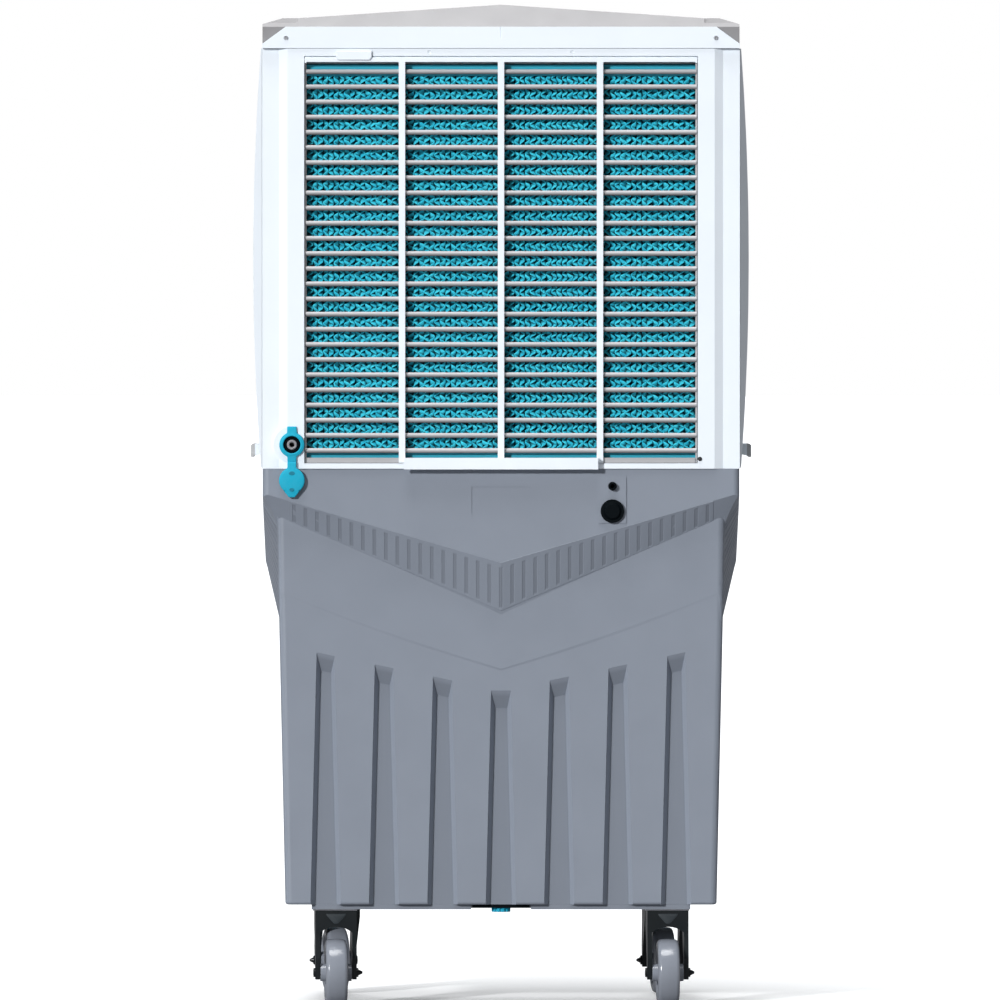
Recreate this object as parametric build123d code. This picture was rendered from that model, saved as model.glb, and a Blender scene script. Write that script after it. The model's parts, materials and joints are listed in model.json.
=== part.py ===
from build123d import *
import os
from math import cos, pi, sin, sqrt

# Evaporative cooler on four casters: a tapering water tank carries a white body with cooling pads
# behind slatted grilles on three sides, and a fan that blows out through louvres at the front.
# Frame: origin on the floor under the middle of the cooler, +Z up, +Y to the rear grille and the
# water inlet, -Y to the air outlet. All sizes are in millimetres.

# ---------------------------------------------------------------- driving dimensions
# levels above the floor
AXLE_Z = 47.5
TANK_BOTTOM = 144.0
TANK_TOP = 756.0
BODY_BOTTOM = 756.4
BODY_TOP = 1344.6
LID_BOTTOM = 1345.0
FASCIA_SHOULDER = 1351.0
LID_EDGE = 1375.0
LID_DECK = 1388.0
LID_RIDGE = 1407.0
GABLE_HALF = 285.0

# plan, as half widths and half depths
TANK_HALF = 334.0
DEPTH_LESS = 99.0
STRIP_HALF = 334.5
BEVEL_OUT = 311.0
BEVEL_IN = 299.0
STRIP_Y = 232.0
FIELD_Y = 238.0
SHELL_BACK_Y = 205.0
BELLY_HALF = 347.5
BELLY_END_HALF = 337.0
BELLY_MID_Z = 1050.0
BELLY_END_Z = 765.0
SHELL = 3.5
TANK_WALL = 4.0

# tank zones: the half width falls at each V-shaped band
ZONE_B_HALF = 310.8
ZONE_B_Z = 489.0
ZONE_B_DRAFT = 0.016
ZONE_C_HALF = 309.0
ZONE_C_Z = 433.0
ZONE_C_DRAFT = 0.0214
# bands: (top edge at the middle, top edge at the corner, bottom edge at the middle, at the corner)
BAND_1 = (626.0, 722.0, 556.0, 698.0)
BAND_1_SIDE = (626.0, 722.0, 535.0, 698.0)
BAND_1_INSET = 21.0
BAND_2 = (477.0, 568.0, 463.0, 519.0)
BAND_2_INSET = 4.0
TANK_CORNER = 9.0

# flutes in the lower tank walls
FLUTE_PITCH = 82.0
FLUTE_TOP_Z = 445.0
FLUTE_RISE = 17.0
FLUTE_DEPTH = 12.0
FLUTE_ROOF = 24.0
FLUTE_TOP_W = 28.0
FLUTE_LOW_W = 43.0
FLUTE_DRAFT = 6.0

# rear window and its slatted grille
WINDOW_HALF = 275.5
WINDOW_LOW = 764.0
WINDOW_HIGH = 1334.0
GRILLE_GAP = 0.7
SLAT_COUNT = 26
SLAT_FIRST_Z = 1315.7
SLAT_PITCH = 21.22
SLAT_H = 6.8
SLAT_SET_BACK = 4.0
RAIL_SET_BACK = 3.2
SLAT_D = 12.0
GRILLE_BAR_W = 9.0
GRILLE_BAR_PITCH = 138.6
GRILLE_PIN_R = 2.0
HANDLE_HALF = 136.0
SIDE_WINDOW_HALF = 148.5
SIDE_LIP_HALF = 353.8
SIDE_GRIP_HALF = 70.0
RETURN_T = 3.0
RETURN_BACK_Y = 219.0
FIT = 0.06

# pads
PAD_T = 60.0
PAD_FACE_Y = 216.0
PAD_HALF = 279.0
PAD_LOW = 766.0
PAD_HIGH = 1322.0
SIDE_PAD_HALF = 152.0
SIDE_PAD_FACE_X = 316.0

# air outlet
OUTLET_HALF = 262.0
OUTLET_LOW = 862.0
OUTLET_HIGH = 1302.0
LOUVRE_COUNT = 5
LOUVRE_PITCH = 84.0
LOUVRE_Y = -217.0
LOUVRE_CHORD = 40.0
LOUVRE_T = 5.0
LOUVRE_PIN_R = 3.0
SWING_COUNT = 4
SWING_PITCH = 104.0
SWING_Y = -178.0
SWING_CHORD = 26.0
SWING_T = 4.0
SWING_PIN_R = 2.5
DUCT_WALL = 6.0
DUCT_BACK_Y = -162.0
LINK_X = 209.0
LINK_T = 4.0
LINK_PIN_R = 1.6

# fan
FAN_Z = 1078.0
SHROUD_R = 232.0
SHROUD_T = 4.0
SHROUD_FRONT_Y = -160.0
SHROUD_BACK_Y = -60.0
FAN_R = 224.0
HUB_R = 55.0
BLADE_COUNT = 5
SHAFT_R = 8.0
MOTOR_R = 70.0
MOTOR_FRONT_Y = -54.0
MOTOR_BACK_Y = 40.0

# water side
INLET_X = 292.8
INLET_Z = 790.0
INLET_STUB_R = 7.0
COLLAR_R = 17.6
CAP_Z = 740.0
CAP_R = 18.0
PUMP_X = -225.0
PUMP_Y = 105.0
HOSE_X = -240.0
HOSE_Y = 120.0
FITTINGS_X = -156.0
BUNG_Z = 697.0
BUNG_R = 16.5
GLAND_Z = 732.0

# casters
CASTER_X = 233.5
CASTER_Y = 150.0
CASTER_PLATE_LOW = 134.6
CASTER_PLATE_HIGH = 137.0
CASTER_PLATE_HALF = 31.0
PLATE_HOLE = 25.5
PLATE_HOLE_R = 2.6
BASE_HALF = 266.0
TRAIL = 27.0
WHEEL_R = 47.5
WHEEL_W = 31.0
FORK_HALF = 29.0
FORK_T = 6.5
AXLE_R = 4.2
KINGPIN_R = 6.0
# caster name: (side of X, side of Y, swivel angle at rest in degrees)
CASTERS = {
    "rear_left": (1, 1, 3.0),
    "rear_right": (-1, 1, 2.0),
    "front_left": (1, -1, 9.0),
    "front_right": (-1, -1, 4.0),
}
FORK_Y = (-20.0, 34.0)
CROWN_T = 5.0
HOOD_T = 4.0
HOOD_LOW = 104.0
HOOD_ARCH_R = 35.0
HOOD_ARCH_Z = 77.0
BRAKE_Y = 40.0
BRAKE_Z = 106.0

# small fittings
DRAIN_Y = 176.0
LEVEL_HALF = 12.0
LEVEL_LOW = 205.0
LEVEL_HIGH = 430.0
SCREW_X = 301.0
SCREW_Z = 1359.4
VALVE_Y = 190.0
ARM_Z = 742.0
BALL = (264.0, 78.0, 655.0)
STRAP_Y = 239.75
STRAP_Z = 765.0
STRAP_BEAD_R = 1.25
DUCT_HALF = OUTLET_HALF - 0.5
DUCT_LOW = OUTLET_LOW + 0.5
DUCT_HIGH = OUTLET_HIGH - 0.5
LOUVRE_CRANK = 17.0
SWING_CRANK = 9.5
SWING_LINK_Z = 1284.0
KNOB_XS = (-100.0, 0.0, 100.0)
KNOB_Z = 812.0
KNOB_R = 19.0
KNOB_SHAFT_R = 3.0


# ---------------------------------------------------------------- helpers
def block(x0, x1, y0, y1, z0, z1):
    """A box between two corners."""
    return Pos((x0 + x1) / 2, (y0 + y1) / 2, (z0 + z1) / 2) * Box(x1 - x0, y1 - y0, z1 - z0)


def rod(axis, radius, start, end, at):
    """A cylinder along X, Y or Z from start to end; at is its place across that axis."""
    middle = (start + end) / 2
    length = end - start
    if axis == "X":
        return Pos(middle, at[0], at[1]) * Rot(0, 90, 0) * Cylinder(radius, length)
    if axis == "Y":
        return Pos(at[0], middle, at[1]) * Rot(90, 0, 0) * Cylinder(radius, length)
    return Pos(at[0], at[1], middle) * Cylinder(radius, length)


def cone_y(radius_a, radius_b, start, end, at):
    """A cone along Y: radius_a at start, radius_b at end."""
    return Pos(at[0], (start + end) / 2, at[1]) * Rot(-90, 0, 0) * Cone(radius_a, radius_b, end - start)


def ring(axis, outer, inner, start, end, at):
    """A tube along X, Y or Z."""
    return rod(axis, outer, start, end, at) - rod(axis, inner, start - 1, end + 1, at)


def polygon(points):
    return Wire.make_polygon(points, close=True)


def as_part(solid):
    return Part() + solid


def prism(points, along):
    """A flat polygon of 3-D points, extruded along a vector."""
    return as_part(Solid.extrude(Face(polygon(points)), Vector(along)))


def prism_xz(points, y0, y1):
    return prism([(x, y0, z) for x, z in points], (0, y1 - y0, 0))


def prism_xy(points, z0, z1):
    return prism([(x, y, z0) for x, y in points], (0, 0, z1 - z0))


def prism_yz(points, x0, x1):
    return prism([(x0, y, z) for y, z in points], (x1 - x0, 0, 0))


def ruled(sections):
    """A solid through polygon sections, with straight edges between them."""
    return as_part(Solid.make_loft([polygon(s) for s in sections], ruled=True))


def joined(pieces):
    """One shape fused from a list."""
    return Part() + pieces


def without(shape, pieces):
    """A shape with every piece of a list cut away."""
    return shape - pieces


def write(name, shape):
    """Writes a node's STEP file."""
    export_step(shape, f"parts/{name}.step")


# ---------------------------------------------------------------- tank
def zone_b(z):
    return ZONE_B_HALF + ZONE_B_DRAFT * (z - ZONE_B_Z)


def zone_c(z):
    return ZONE_C_HALF + ZONE_C_DRAFT * (z - ZONE_C_Z)


def column(half_low, half_high, z_low, z_high, radius):
    """A drafted block with rounded upright edges; its depth is narrower than its width."""
    low = Pos(0, 0, z_low) * RectangleRounded(2 * half_low, 2 * (half_low - DEPTH_LESS), radius)
    high = Pos(0, 0, z_high) * RectangleRounded(2 * half_high, 2 * (half_high - DEPTH_LESS), radius)
    return as_part(Solid.make_loft([low.wire(), high.wire()], ruled=True))


def band_cutter(half, depth, band, inset, floor):
    """What lies outside and below a V-shaped band on the rear face, from one corner to the other."""
    mid_top, end_top, mid_low, end_low = band
    reach = half + 30
    inward = 14.0
    outward = 30.0

    def section(u):
        share = abs(u) / half
        top = mid_top + (end_top - mid_top) * share
        low = mid_low + (end_low - mid_low) * share
        slope = (top - low) / inset
        return [
            (u, depth + outward, top + outward * slope),
            (u, depth - inset - inward, low - inward * slope),
            (u, depth - inset - inward, floor),
            (u, depth + outward, floor),
        ]

    return ruled([section(-reach), section(0.0), section(reach)])


def banded(body, half, band, side_band, inset, floor):
    """A zone of the tank, cut off along its band on all four faces."""
    deep = half - DEPTH_LESS
    rear = band_cutter(half, deep, band, inset, floor)
    side = band_cutter(deep, half, side_band, inset, floor)
    cutters = [Rot(0, 0, turn) * cutter for turn, cutter in ((0, rear), (180, rear), (90, side), (270, side))]
    return without(body, cutters)


def tank_form(wall, lift):
    """The tank's outer form, or its cavity when a wall is given."""
    radius = TANK_CORNER - wall / 2
    top = TANK_TOP + (5 if wall else 0)
    floor = TANK_BOTTOM + wall
    zone_a = column(TANK_HALF - wall, TANK_HALF - wall, 420, top, radius)
    band_1 = [z + lift for z in BAND_1]
    band_1_side = [z + lift for z in BAND_1_SIDE]
    band_2 = [z + lift for z in BAND_2]
    upper = banded(zone_a, TANK_HALF - wall, band_1, band_1_side, BAND_1_INSET, 400)
    b_body = column(zone_b(430) - wall, zone_b(745) - wall, 430, 745, radius)
    middle = banded(b_body, zone_b(500) - wall, band_2, band_2, BAND_2_INSET, 400)
    lower = column(zone_c(floor) - wall, zone_c(600) - wall, floor, 600, radius)
    if not wall:
        lower = fillet(lower.edges().filter_by(Axis.Z, reverse=True).group_by(Axis.Z)[0], 4.0)
    return joined([lower, middle, upper])


def flute(u, depth_at, grow):
    """A groove in the rear face at u, open at the bottom, with a sloping roof along the V."""
    z_low = TANK_BOTTOM - 4
    z_high = 560.0
    roof_z = FLUTE_TOP_Z + FLUTE_RISE * abs(u) / FLUTE_PITCH + grow
    slope = 0.0 if u == 0 else FLUTE_RISE / FLUTE_PITCH * (1 if u > 0 else -1)

    def section(z):
        share = (FLUTE_TOP_Z - z) / (FLUTE_TOP_Z - TANK_BOTTOM)
        half = (FLUTE_TOP_W + (FLUTE_LOW_W - FLUTE_TOP_W) * share) / 2 + grow
        surface = depth_at(z)
        inner = surface - FLUTE_DEPTH - grow
        wide = half + FLUTE_DRAFT * 0.8
        outer = surface + FLUTE_DEPTH * 0.8
        narrow = half - FLUTE_DRAFT
        return [(u - wide, outer, z), (u + wide, outer, z), (u + narrow, inner, z), (u - narrow, inner, z)]

    channel = ruled([section(z_low), section(z_high)])
    surface = depth_at(roof_z)
    fall = FLUTE_ROOF / FLUTE_DEPTH
    start = u - 60
    rise = roof_z - slope * 60
    roof = prism(
        [
            (start, surface + 30, rise + 30 * fall),
            (start, surface - 40, rise - 40 * fall),
            (start, surface - 40, rise + 300),
            (start, surface + 30, rise + 300),
        ],
        (120, 0, slope * 120),
    )
    return channel - roof


def flutes(grow):
    """All the grooves: seven at the rear, six at the front round the level window, five a side."""
    def rear_depth(z):
        return zone_c(z) - DEPTH_LESS

    found = []
    for i in range(-3, 4):
        found.append(flute(i * FLUTE_PITCH, rear_depth, grow))
        if i:
            found.append(Rot(0, 0, 180) * flute(i * FLUTE_PITCH, rear_depth, grow))
    for i in range(-2, 3):
        for turn in (90, 270):
            found.append(Rot(0, 0, turn) * flute(i * FLUTE_PITCH * 0.9, zone_c, grow))
    return found


def tank():
    outer = tank_form(0.0, 0.0)
    cavity = without(tank_form(TANK_WALL, 5.0), flutes(TANK_WALL))
    shell = without(outer, [cavity] + flutes(0.0))
    face_y = TANK_HALF - DEPTH_LESS
    pad = block(FITTINGS_X - 19.5, FITTINGS_X + 19.5, face_y - 2, face_y + 1.5, 680, 745)
    label = block(-41, 41, face_y - 0.8, face_y + 2, 692, 731)
    bung_hole = rod("Y", 12.0, face_y - 20, face_y + 10, (FITTINGS_X, BUNG_Z))
    gland_hole = rod("Y", 4.1, face_y - 20, face_y + 10, (FITTINGS_X, GLAND_Z))
    drain_hole = rod("Z", 9.0, TANK_BOTTOM - 5, TANK_BOTTOM + 15, (0, DRAIN_Y))
    front_low = -(zone_c(LEVEL_LOW) - DEPTH_LESS)
    window = block(-LEVEL_HALF, LEVEL_HALF, front_low - 20, front_low + 20, LEVEL_LOW, LEVEL_HIGH)
    shell = shell + pad
    return without(shell, [label, bung_hole, gland_hole, drain_hole, window])


def base_frame():
    """Ribbed plate under the tank, notched for the drain and bored over each kingpin."""
    top = TANK_BOTTOM - 0.1
    deep = zone_c(TANK_BOTTOM) - DEPTH_LESS - FLUTE_DEPTH
    plate = block(-BASE_HALF, BASE_HALF, -deep, deep, CASTER_PLATE_HIGH, top)
    pockets = [
        block(x - 36, x + 36, y - 48, y + 48, CASTER_PLATE_HIGH - 1, top - 3)
        for x in (-84.0, 0.0, 84.0) for y in (-70, 70)
    ]
    notch = block(-42, 42, 150, deep + 1, CASTER_PLATE_HIGH - 1, top + 1)
    holes = [
        rod("Z", KINGPIN_R + 1, CASTER_PLATE_HIGH - 1, top + 1, (sx * CASTER_X, sy * CASTER_Y))
        for sx, sy, _ in CASTERS.values()
    ]
    return without(plate, pockets + [notch] + holes)


def drain_plug():
    """Screwed drain plug: a stem up through the tank floor and a ribbed round head below."""
    head = rod("Z", 13.5, 133, 139, (0, DRAIN_Y))
    ribs = [
        rod("Z", 2.0, 133, 139, (13 * cos(2 * pi * i / 12), DRAIN_Y + 13 * sin(2 * pi * i / 12)))
        for i in range(12)
    ]
    stem = rod("Z", 8.9, 139, 156, (0, DRAIN_Y))
    return without(joined([head, stem]), ribs)


def drain_seat():
    """Black outlet plate round the drain, under the tank's rear edge."""
    plate = block(-40, 40, 152, 192, 139.1, TANK_BOTTOM - 0.1)
    return plate - rod("Z", 9.2, 130, 150, (0, DRAIN_Y))


def overflow_bung():
    face = TANK_HALF - DEPTH_LESS + 1.5
    head = rod("Y", BUNG_R, face + 0.02, face + 5, (FITTINGS_X, BUNG_Z))
    crown = cone_y(12.5, 10.0, face + 5, face + 9, (FITTINGS_X, BUNG_Z))
    stem = rod("Y", 11.9, face - 12, face + 0.02, (FITTINGS_X, BUNG_Z))
    return joined([head, crown, stem])


def cord_gland():
    """Small gland for the supply cord, open through its middle."""
    face = TANK_HALF - DEPTH_LESS + 1.5
    body = joined([
        rod("Y", 6.0, face + 0.02, face + 4, (FITTINGS_X, GLAND_Z)),
        rod("Y", 5.0, face + 4, face + 9, (FITTINGS_X, GLAND_Z)),
        rod("Y", 4.0, face - 12, face + 0.02, (FITTINGS_X, GLAND_Z)),
    ])
    return body - rod("Y", 3.0, face - 14, face + 12, (FITTINGS_X, GLAND_Z))


# ---------------------------------------------------------------- white body
def face_frame():
    """A moulded frame for the rear or the front: side strips, bevels and a raised field, hollow behind."""
    def profile(inset):
        back = SHELL_BACK_Y - (1 if inset else 0)
        return [
            (-STRIP_HALF + inset, back), (-STRIP_HALF + inset, STRIP_Y - inset),
            (-BEVEL_OUT, STRIP_Y - inset), (-BEVEL_IN, FIELD_Y - inset),
            (BEVEL_IN, FIELD_Y - inset), (BEVEL_OUT, STRIP_Y - inset),
            (STRIP_HALF - inset, STRIP_Y - inset), (STRIP_HALF - inset, back),
        ]

    outer = prism_xy(profile(0.0), BODY_BOTTOM, BODY_TOP)
    inner = prism_xy(profile(SHELL), BODY_BOTTOM + SHELL, BODY_TOP - SHELL)
    return outer - inner


def window_cut(half, low, high, y_back):
    """An opening and the thin return wall round it."""
    hole = block(-half, half, y_back - 2, FIELD_Y + 10, low, high)
    wall = block(-half - RETURN_T, half + RETURN_T, y_back, FIELD_Y - 1, low - RETURN_T, high + RETURN_T)
    return hole, wall - hole


def rear_frame():
    hole, wall = window_cut(WINDOW_HALF, WINDOW_LOW, WINDOW_HIGH, RETURN_BACK_Y)
    boss = rod("Y", 26.0, STRIP_Y - SHELL, FIELD_Y, (INLET_X, INLET_Z))
    catch = prism_xz([(180, 1339), (230, 1339), (230, 1334.4), (184, 1334.4)], FIELD_Y - 1, FIELD_Y + 1.5)
    frame = joined([face_frame(), boss]) - hole
    frame = joined([frame, wall, catch])
    inlet_hole = rod("Y", 12.4, RETURN_BACK_Y, FIELD_Y + 5, (INLET_X, INLET_Z))
    dimples = [cone_y(1.5, 3.4, FIELD_Y - 1.5, FIELD_Y + 0.5, (x, 1339.5)) for x in (-100, 100)]
    cuts = [inlet_hole] + dimples
    pivot_z = WINDOW_HIGH - 5
    for side in (-1, 1):
        a, b = sorted((side * (WINDOW_HALF - 1), side * (WINDOW_HALF + RETURN_T + 1)))
        cuts.append(rod("X", GRILLE_PIN_R + FIT, a, b, (FIELD_Y - 4, pivot_z)))
    return without(frame, cuts)


def rear_fascia():
    """White band over the rear frame, with chamfered corners and two screw holes."""
    outline = [
        (-STRIP_HALF, LID_BOTTOM), (-STRIP_HALF, FASCIA_SHOULDER), (-301.5, LID_EDGE),
        (301.5, LID_EDGE), (STRIP_HALF, FASCIA_SHOULDER), (STRIP_HALF, LID_BOTTOM),
    ]
    plate = prism_xz(outline, 232.5, 240)
    creased = prism_xy([(-1.5, 241), (0, 238.8), (1.5, 241)], LID_EDGE - 16, LID_EDGE + 1)
    holes = [rod("Y", 2.3, 230, 242, (x, SCREW_Z)) for x in (-SCREW_X, SCREW_X)]
    return without(plate, [creased] + holes)


def cover_screws():
    """Two pan-head screws through the rear fascia."""
    screws = []
    for x in (-SCREW_X, SCREW_X):
        head = cone_y(3.4, 2.6, 240.02, 242, (x, SCREW_Z))
        slot = block(x - 2, x + 2, 241.2, 243, SCREW_Z - 0.5, SCREW_Z + 0.5)
        cross = block(x - 0.5, x + 0.5, 241.2, 243, SCREW_Z - 2, SCREW_Z + 2)
        screws.append(joined([head, rod("Y", 2.2, 226, 240.02, (x, SCREW_Z))]) - slot - cross)
    return Compound(children=screws)


def front_panel():
    """Front frame round the air outlet, carried up over the lid's front edge."""
    hole, wall = window_cut(OUTLET_HALF, OUTLET_LOW, OUTLET_HIGH, RETURN_BACK_Y)
    frame = joined([face_frame() - hole, wall])
    outline = [
        (-STRIP_HALF, BODY_TOP - 2), (-STRIP_HALF, FASCIA_SHOULDER), (-301.5, LID_EDGE),
        (301.5, LID_EDGE), (STRIP_HALF, FASCIA_SHOULDER), (STRIP_HALF, BODY_TOP - 2),
    ]
    crest = prism_xz(outline, 237.0 - SHELL, 237.0)
    neck = block(-STRIP_HALF, STRIP_HALF, STRIP_Y - 4, 237.0, BODY_TOP - 3, BODY_TOP)
    shafts = [rod("Y", KNOB_SHAFT_R + FIT, FIELD_Y - 12, FIELD_Y + 5, (-x, KNOB_Z)) for x in KNOB_XS]
    return Rot(0, 0, 180) * without(joined([frame, crest, neck]), shafts)


def belly_prism(offset, y_half):
    """What lies inside the bowed side surface, moved out by an offset."""
    low = BODY_BOTTOM - 20
    high = BODY_TOP + 20
    a = Vector(belly(low) + offset, -y_half, low)
    b = Vector(BELLY_HALF + offset, -y_half, BELLY_MID_Z)
    c = Vector(belly(high) + offset, -y_half, high)
    back_c = Vector(200, -y_half, high)
    back_a = Vector(200, -y_half, low)
    outline = Wire([
        Edge.make_three_point_arc(a, b, c), Edge.make_line(c, back_c),
        Edge.make_line(back_c, back_a), Edge.make_line(back_a, a),
    ])
    return as_part(Solid.extrude(Face(outline), Vector(0, 2 * y_half, 0)))


def belly(z):
    """Half width of the bowed side surface at a height."""
    sag = BELLY_HALF - BELLY_END_HALF
    reach = BELLY_MID_Z - BELLY_END_Z
    radius = (reach * reach + sag * sag) / (2 * sag)
    return BELLY_HALF - radius + sqrt(radius * radius - (z - BELLY_MID_Z) ** 2)


def side_frame():
    """Bowed side panel for the left (+X) side, with the window for its grille."""
    edge = STRIP_HALF + 0.4
    front = SHELL_BACK_Y - 0.3
    plan = [
        (312, -front), (edge, -front), (edge, -STRIP_Y + 0.5), (BELLY_HALF + 1, -SHELL_BACK_Y),
        (BELLY_HALF + 1, SHELL_BACK_Y), (edge, STRIP_Y - 0.5), (edge, front), (312, front),
    ]
    outer = prism_xy(plan, BODY_BOTTOM, BODY_TOP) & belly_prism(0.0, 260)
    cavity = belly_prism(-SHELL, 260) & block(300, 360, -front + SHELL, front - SHELL,
                                              BODY_BOTTOM + SHELL, BODY_TOP - SHELL)
    low_taper = prism_xz([(334.6, BODY_BOTTOM - 1), (345, BODY_BOTTOM - 1), (345, 780)], -260, 260)
    hole = block(300, 400, -SIDE_WINDOW_HALF, SIDE_WINDOW_HALF, WINDOW_LOW, WINDOW_HIGH)
    wall = block(320, 400, -SIDE_WINDOW_HALF - RETURN_T, SIDE_WINDOW_HALF + RETURN_T,
                 WINDOW_LOW - RETURN_T, WINDOW_HIGH + RETURN_T)
    wall = (wall - hole) & belly_prism(-0.5, 260)
    frame = joined([outer - cavity - hole, wall]) - low_taper
    pivot = (belly(WINDOW_HIGH) - 4, WINDOW_HIGH - 5)
    pins = [
        rod("Y", GRILLE_PIN_R + FIT, a, b, pivot)
        for a, b in ((SIDE_WINDOW_HALF - 1, SIDE_WINDOW_HALF + RETURN_T + 1),
                     (-SIDE_WINDOW_HALF - RETURN_T - 1, -SIDE_WINDOW_HALF + 1))
    ]
    return without(frame, pins)


def lid_form(inset):
    """Lid: a rim, a shallow hipped deck and a low gable that runs to the rear slope."""
    half = 334.0 - inset
    rear = 231.0 - inset
    front = -233.0 + inset
    deck = LID_DECK - inset
    bottom = LID_BOTTOM - (1 if inset else 0)
    rim_z = 1379.0 - inset
    rim = [(-half, front, rim_z), (half, front, rim_z), (half, rear, rim_z), (-half, rear, rim_z)]
    foot = [(x, y, bottom) for x, y, _ in rim]
    top = [(-306, front + 30, deck), (306, front + 30, deck), (306, rear - 30, deck), (-306, rear - 30, deck)]
    low = ruled([foot, rim])
    hip = ruled([rim, top])
    gable = prism_xz(
        [(-GABLE_HALF, deck - 20), (-GABLE_HALF, deck - 0.5), (0, LID_RIDGE - inset),
         (GABLE_HALF, deck - 0.5), (GABLE_HALF, deck - 20)],
        front + 6, rear,
    )
    rear_slope = prism_yz([(rear + 1, LID_EDGE - 1 - inset), (rear + 1, 1420), (rear - 60, 1420),
                           (rear - 32, LID_RIDGE + 1 - inset)], -340, 340)
    front_slope = prism_yz([(front - 1, LID_EDGE - 1 - inset), (front - 1, 1420), (front + 60, 1420),
                            (front + 32, LID_RIDGE + 1 - inset)], -340, 340)
    return without(joined([low, hip, gable]), [rear_slope, front_slope])


def top_cover():
    shell = lid_form(0.0) - lid_form(SHELL)
    bosses = []
    cores = []
    for x in (-SCREW_X, SCREW_X):
        bosses.append(rod("Y", 6.0, 222, 230, (x, SCREW_Z)))
        cores.append(rod("Y", 2.3, 220, 234, (x, SCREW_Z)))
    return without(joined([shell] + bosses), cores)


# ---------------------------------------------------------------- grilles
def slat(half, face, z_top):
    """One slat with a round nose; face is how far out its nose reaches."""
    radius = SLAT_H / 2
    z = z_top - radius
    nose = rod("X", radius, -half, half, (face - radius, z))
    web = block(-half, half, face - SLAT_D, face - radius, z - radius * 0.75, z + radius * 0.75)
    return joined([nose, web])


def slatted(half, bars, face_at, trim):
    """Slats, upright bars and rails of a grille, built facing +Y; trim is what it is cut to."""
    top = WINDOW_HIGH - GRILLE_GAP
    low = WINDOW_LOW + GRILLE_GAP
    face_top = face_at(WINDOW_HIGH)
    slats = [
        slat(half - 1, face_at(SLAT_FIRST_Z - i * SLAT_PITCH) - SLAT_SET_BACK, SLAT_FIRST_Z - i * SLAT_PITCH)
        for i in range(SLAT_COUNT)
    ]
    deepest = min(face_at(top), face_at(low)) - 16
    w = GRILLE_BAR_W / 2
    uprights = [block(u - w, u + w, deepest, face_top + 20, low, top) for u in bars]
    uprights += [block(s * half - (2.5 if s > 0 else 0), s * half + (0 if s > 0 else 2.5),
                       deepest, face_top + 20, low, top) for s in (-1, 1)]
    rails = [
        block(-half, half, deepest + 6, face_top + 20, top - 7.5, top),
        block(-half, half, deepest + 6, face_at(low) - RAIL_SET_BACK, low, low + 7),
    ]
    side_relief = [
        block(s * half - (3 if s > 0 else 1), s * half + (1 if s > 0 else 3), face_top - 6, face_top + 30,
              low - 1, top - 9) for s in (-1, 1)
    ]
    frame = joined(uprights + rails) & trim
    nose = face_top + 1.5
    corner = [(nose - 5.0, top + 0.5), (nose + 6, top + 0.5), (nose + 6, top - 5.5)]
    chamfer_cut = prism_yz(corner, -half - 1, half + 1)
    frame = without(frame, [chamfer_cut] + (side_relief if half > 200 else []))
    return joined([frame] + slats)


def rear_grille():
    half = WINDOW_HALF - GRILLE_GAP
    trim = block(-400, 400, 200, FIELD_Y + 1, 700, 1400)
    bars = [i * GRILLE_BAR_PITCH for i in (-1, 0, 1)]
    panel = slatted(half, bars, lambda z: FIELD_Y, trim)
    handle = prism_yz([(FIELD_Y - 8, 771.5), (252, 771.5), (252, 755.5), (249, 755.5), (249, 764.7),
                       (FIELD_Y - 8, 764.7)], -HANDLE_HALF, HANDLE_HALF)
    pins = []
    for side in (-1, 1):
        a, b = sorted((side * (half - 1), side * (half + RETURN_T)))
        pins.append(rod("X", GRILLE_PIN_R, a, b, (FIELD_Y - 4, WINDOW_HIGH - 5)))
    return joined([panel, handle] + pins)


def side_grille():
    """Grille for the left (+X) side, which follows the belly; built facing +Y and turned."""
    half = SIDE_WINDOW_HALF - GRILLE_GAP
    trim = Rot(0, 0, 90) * belly_prism(0.3, 260)
    panel = slatted(half, [-49.0, 49.0], belly, trim)
    face = belly(775)
    lip = SIDE_LIP_HALF
    inner = lip - 3.2
    handle = prism_yz([(face - 8, 790), (lip - 2, 790), (lip, 788), (lip, 771.5), (inner, 771.5),
                       (inner, 786.8), (face - 8, 786.8)], -SIDE_GRIP_HALF, SIDE_GRIP_HALF)
    cheeks = [
        prism_yz([(face - 8, 789), (inner + 1, 789), (inner + 1, 772.5), (face - 1, 776),
                  (face - 8, 780)], a, b)
        for a, b in ((-SIDE_GRIP_HALF, 3 - SIDE_GRIP_HALF), (SIDE_GRIP_HALF - 3, SIDE_GRIP_HALF))
    ]
    pins = []
    for side in (-1, 1):
        a, b = sorted((side * (half - 1), side * (half + RETURN_T)))
        pins.append(rod("X", GRILLE_PIN_R, a, b, (belly(WINDOW_HIGH) - 4, WINDOW_HIGH - 5)))
    return Rot(0, 0, -90) * joined([panel, handle] + cheeks + pins)


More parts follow.
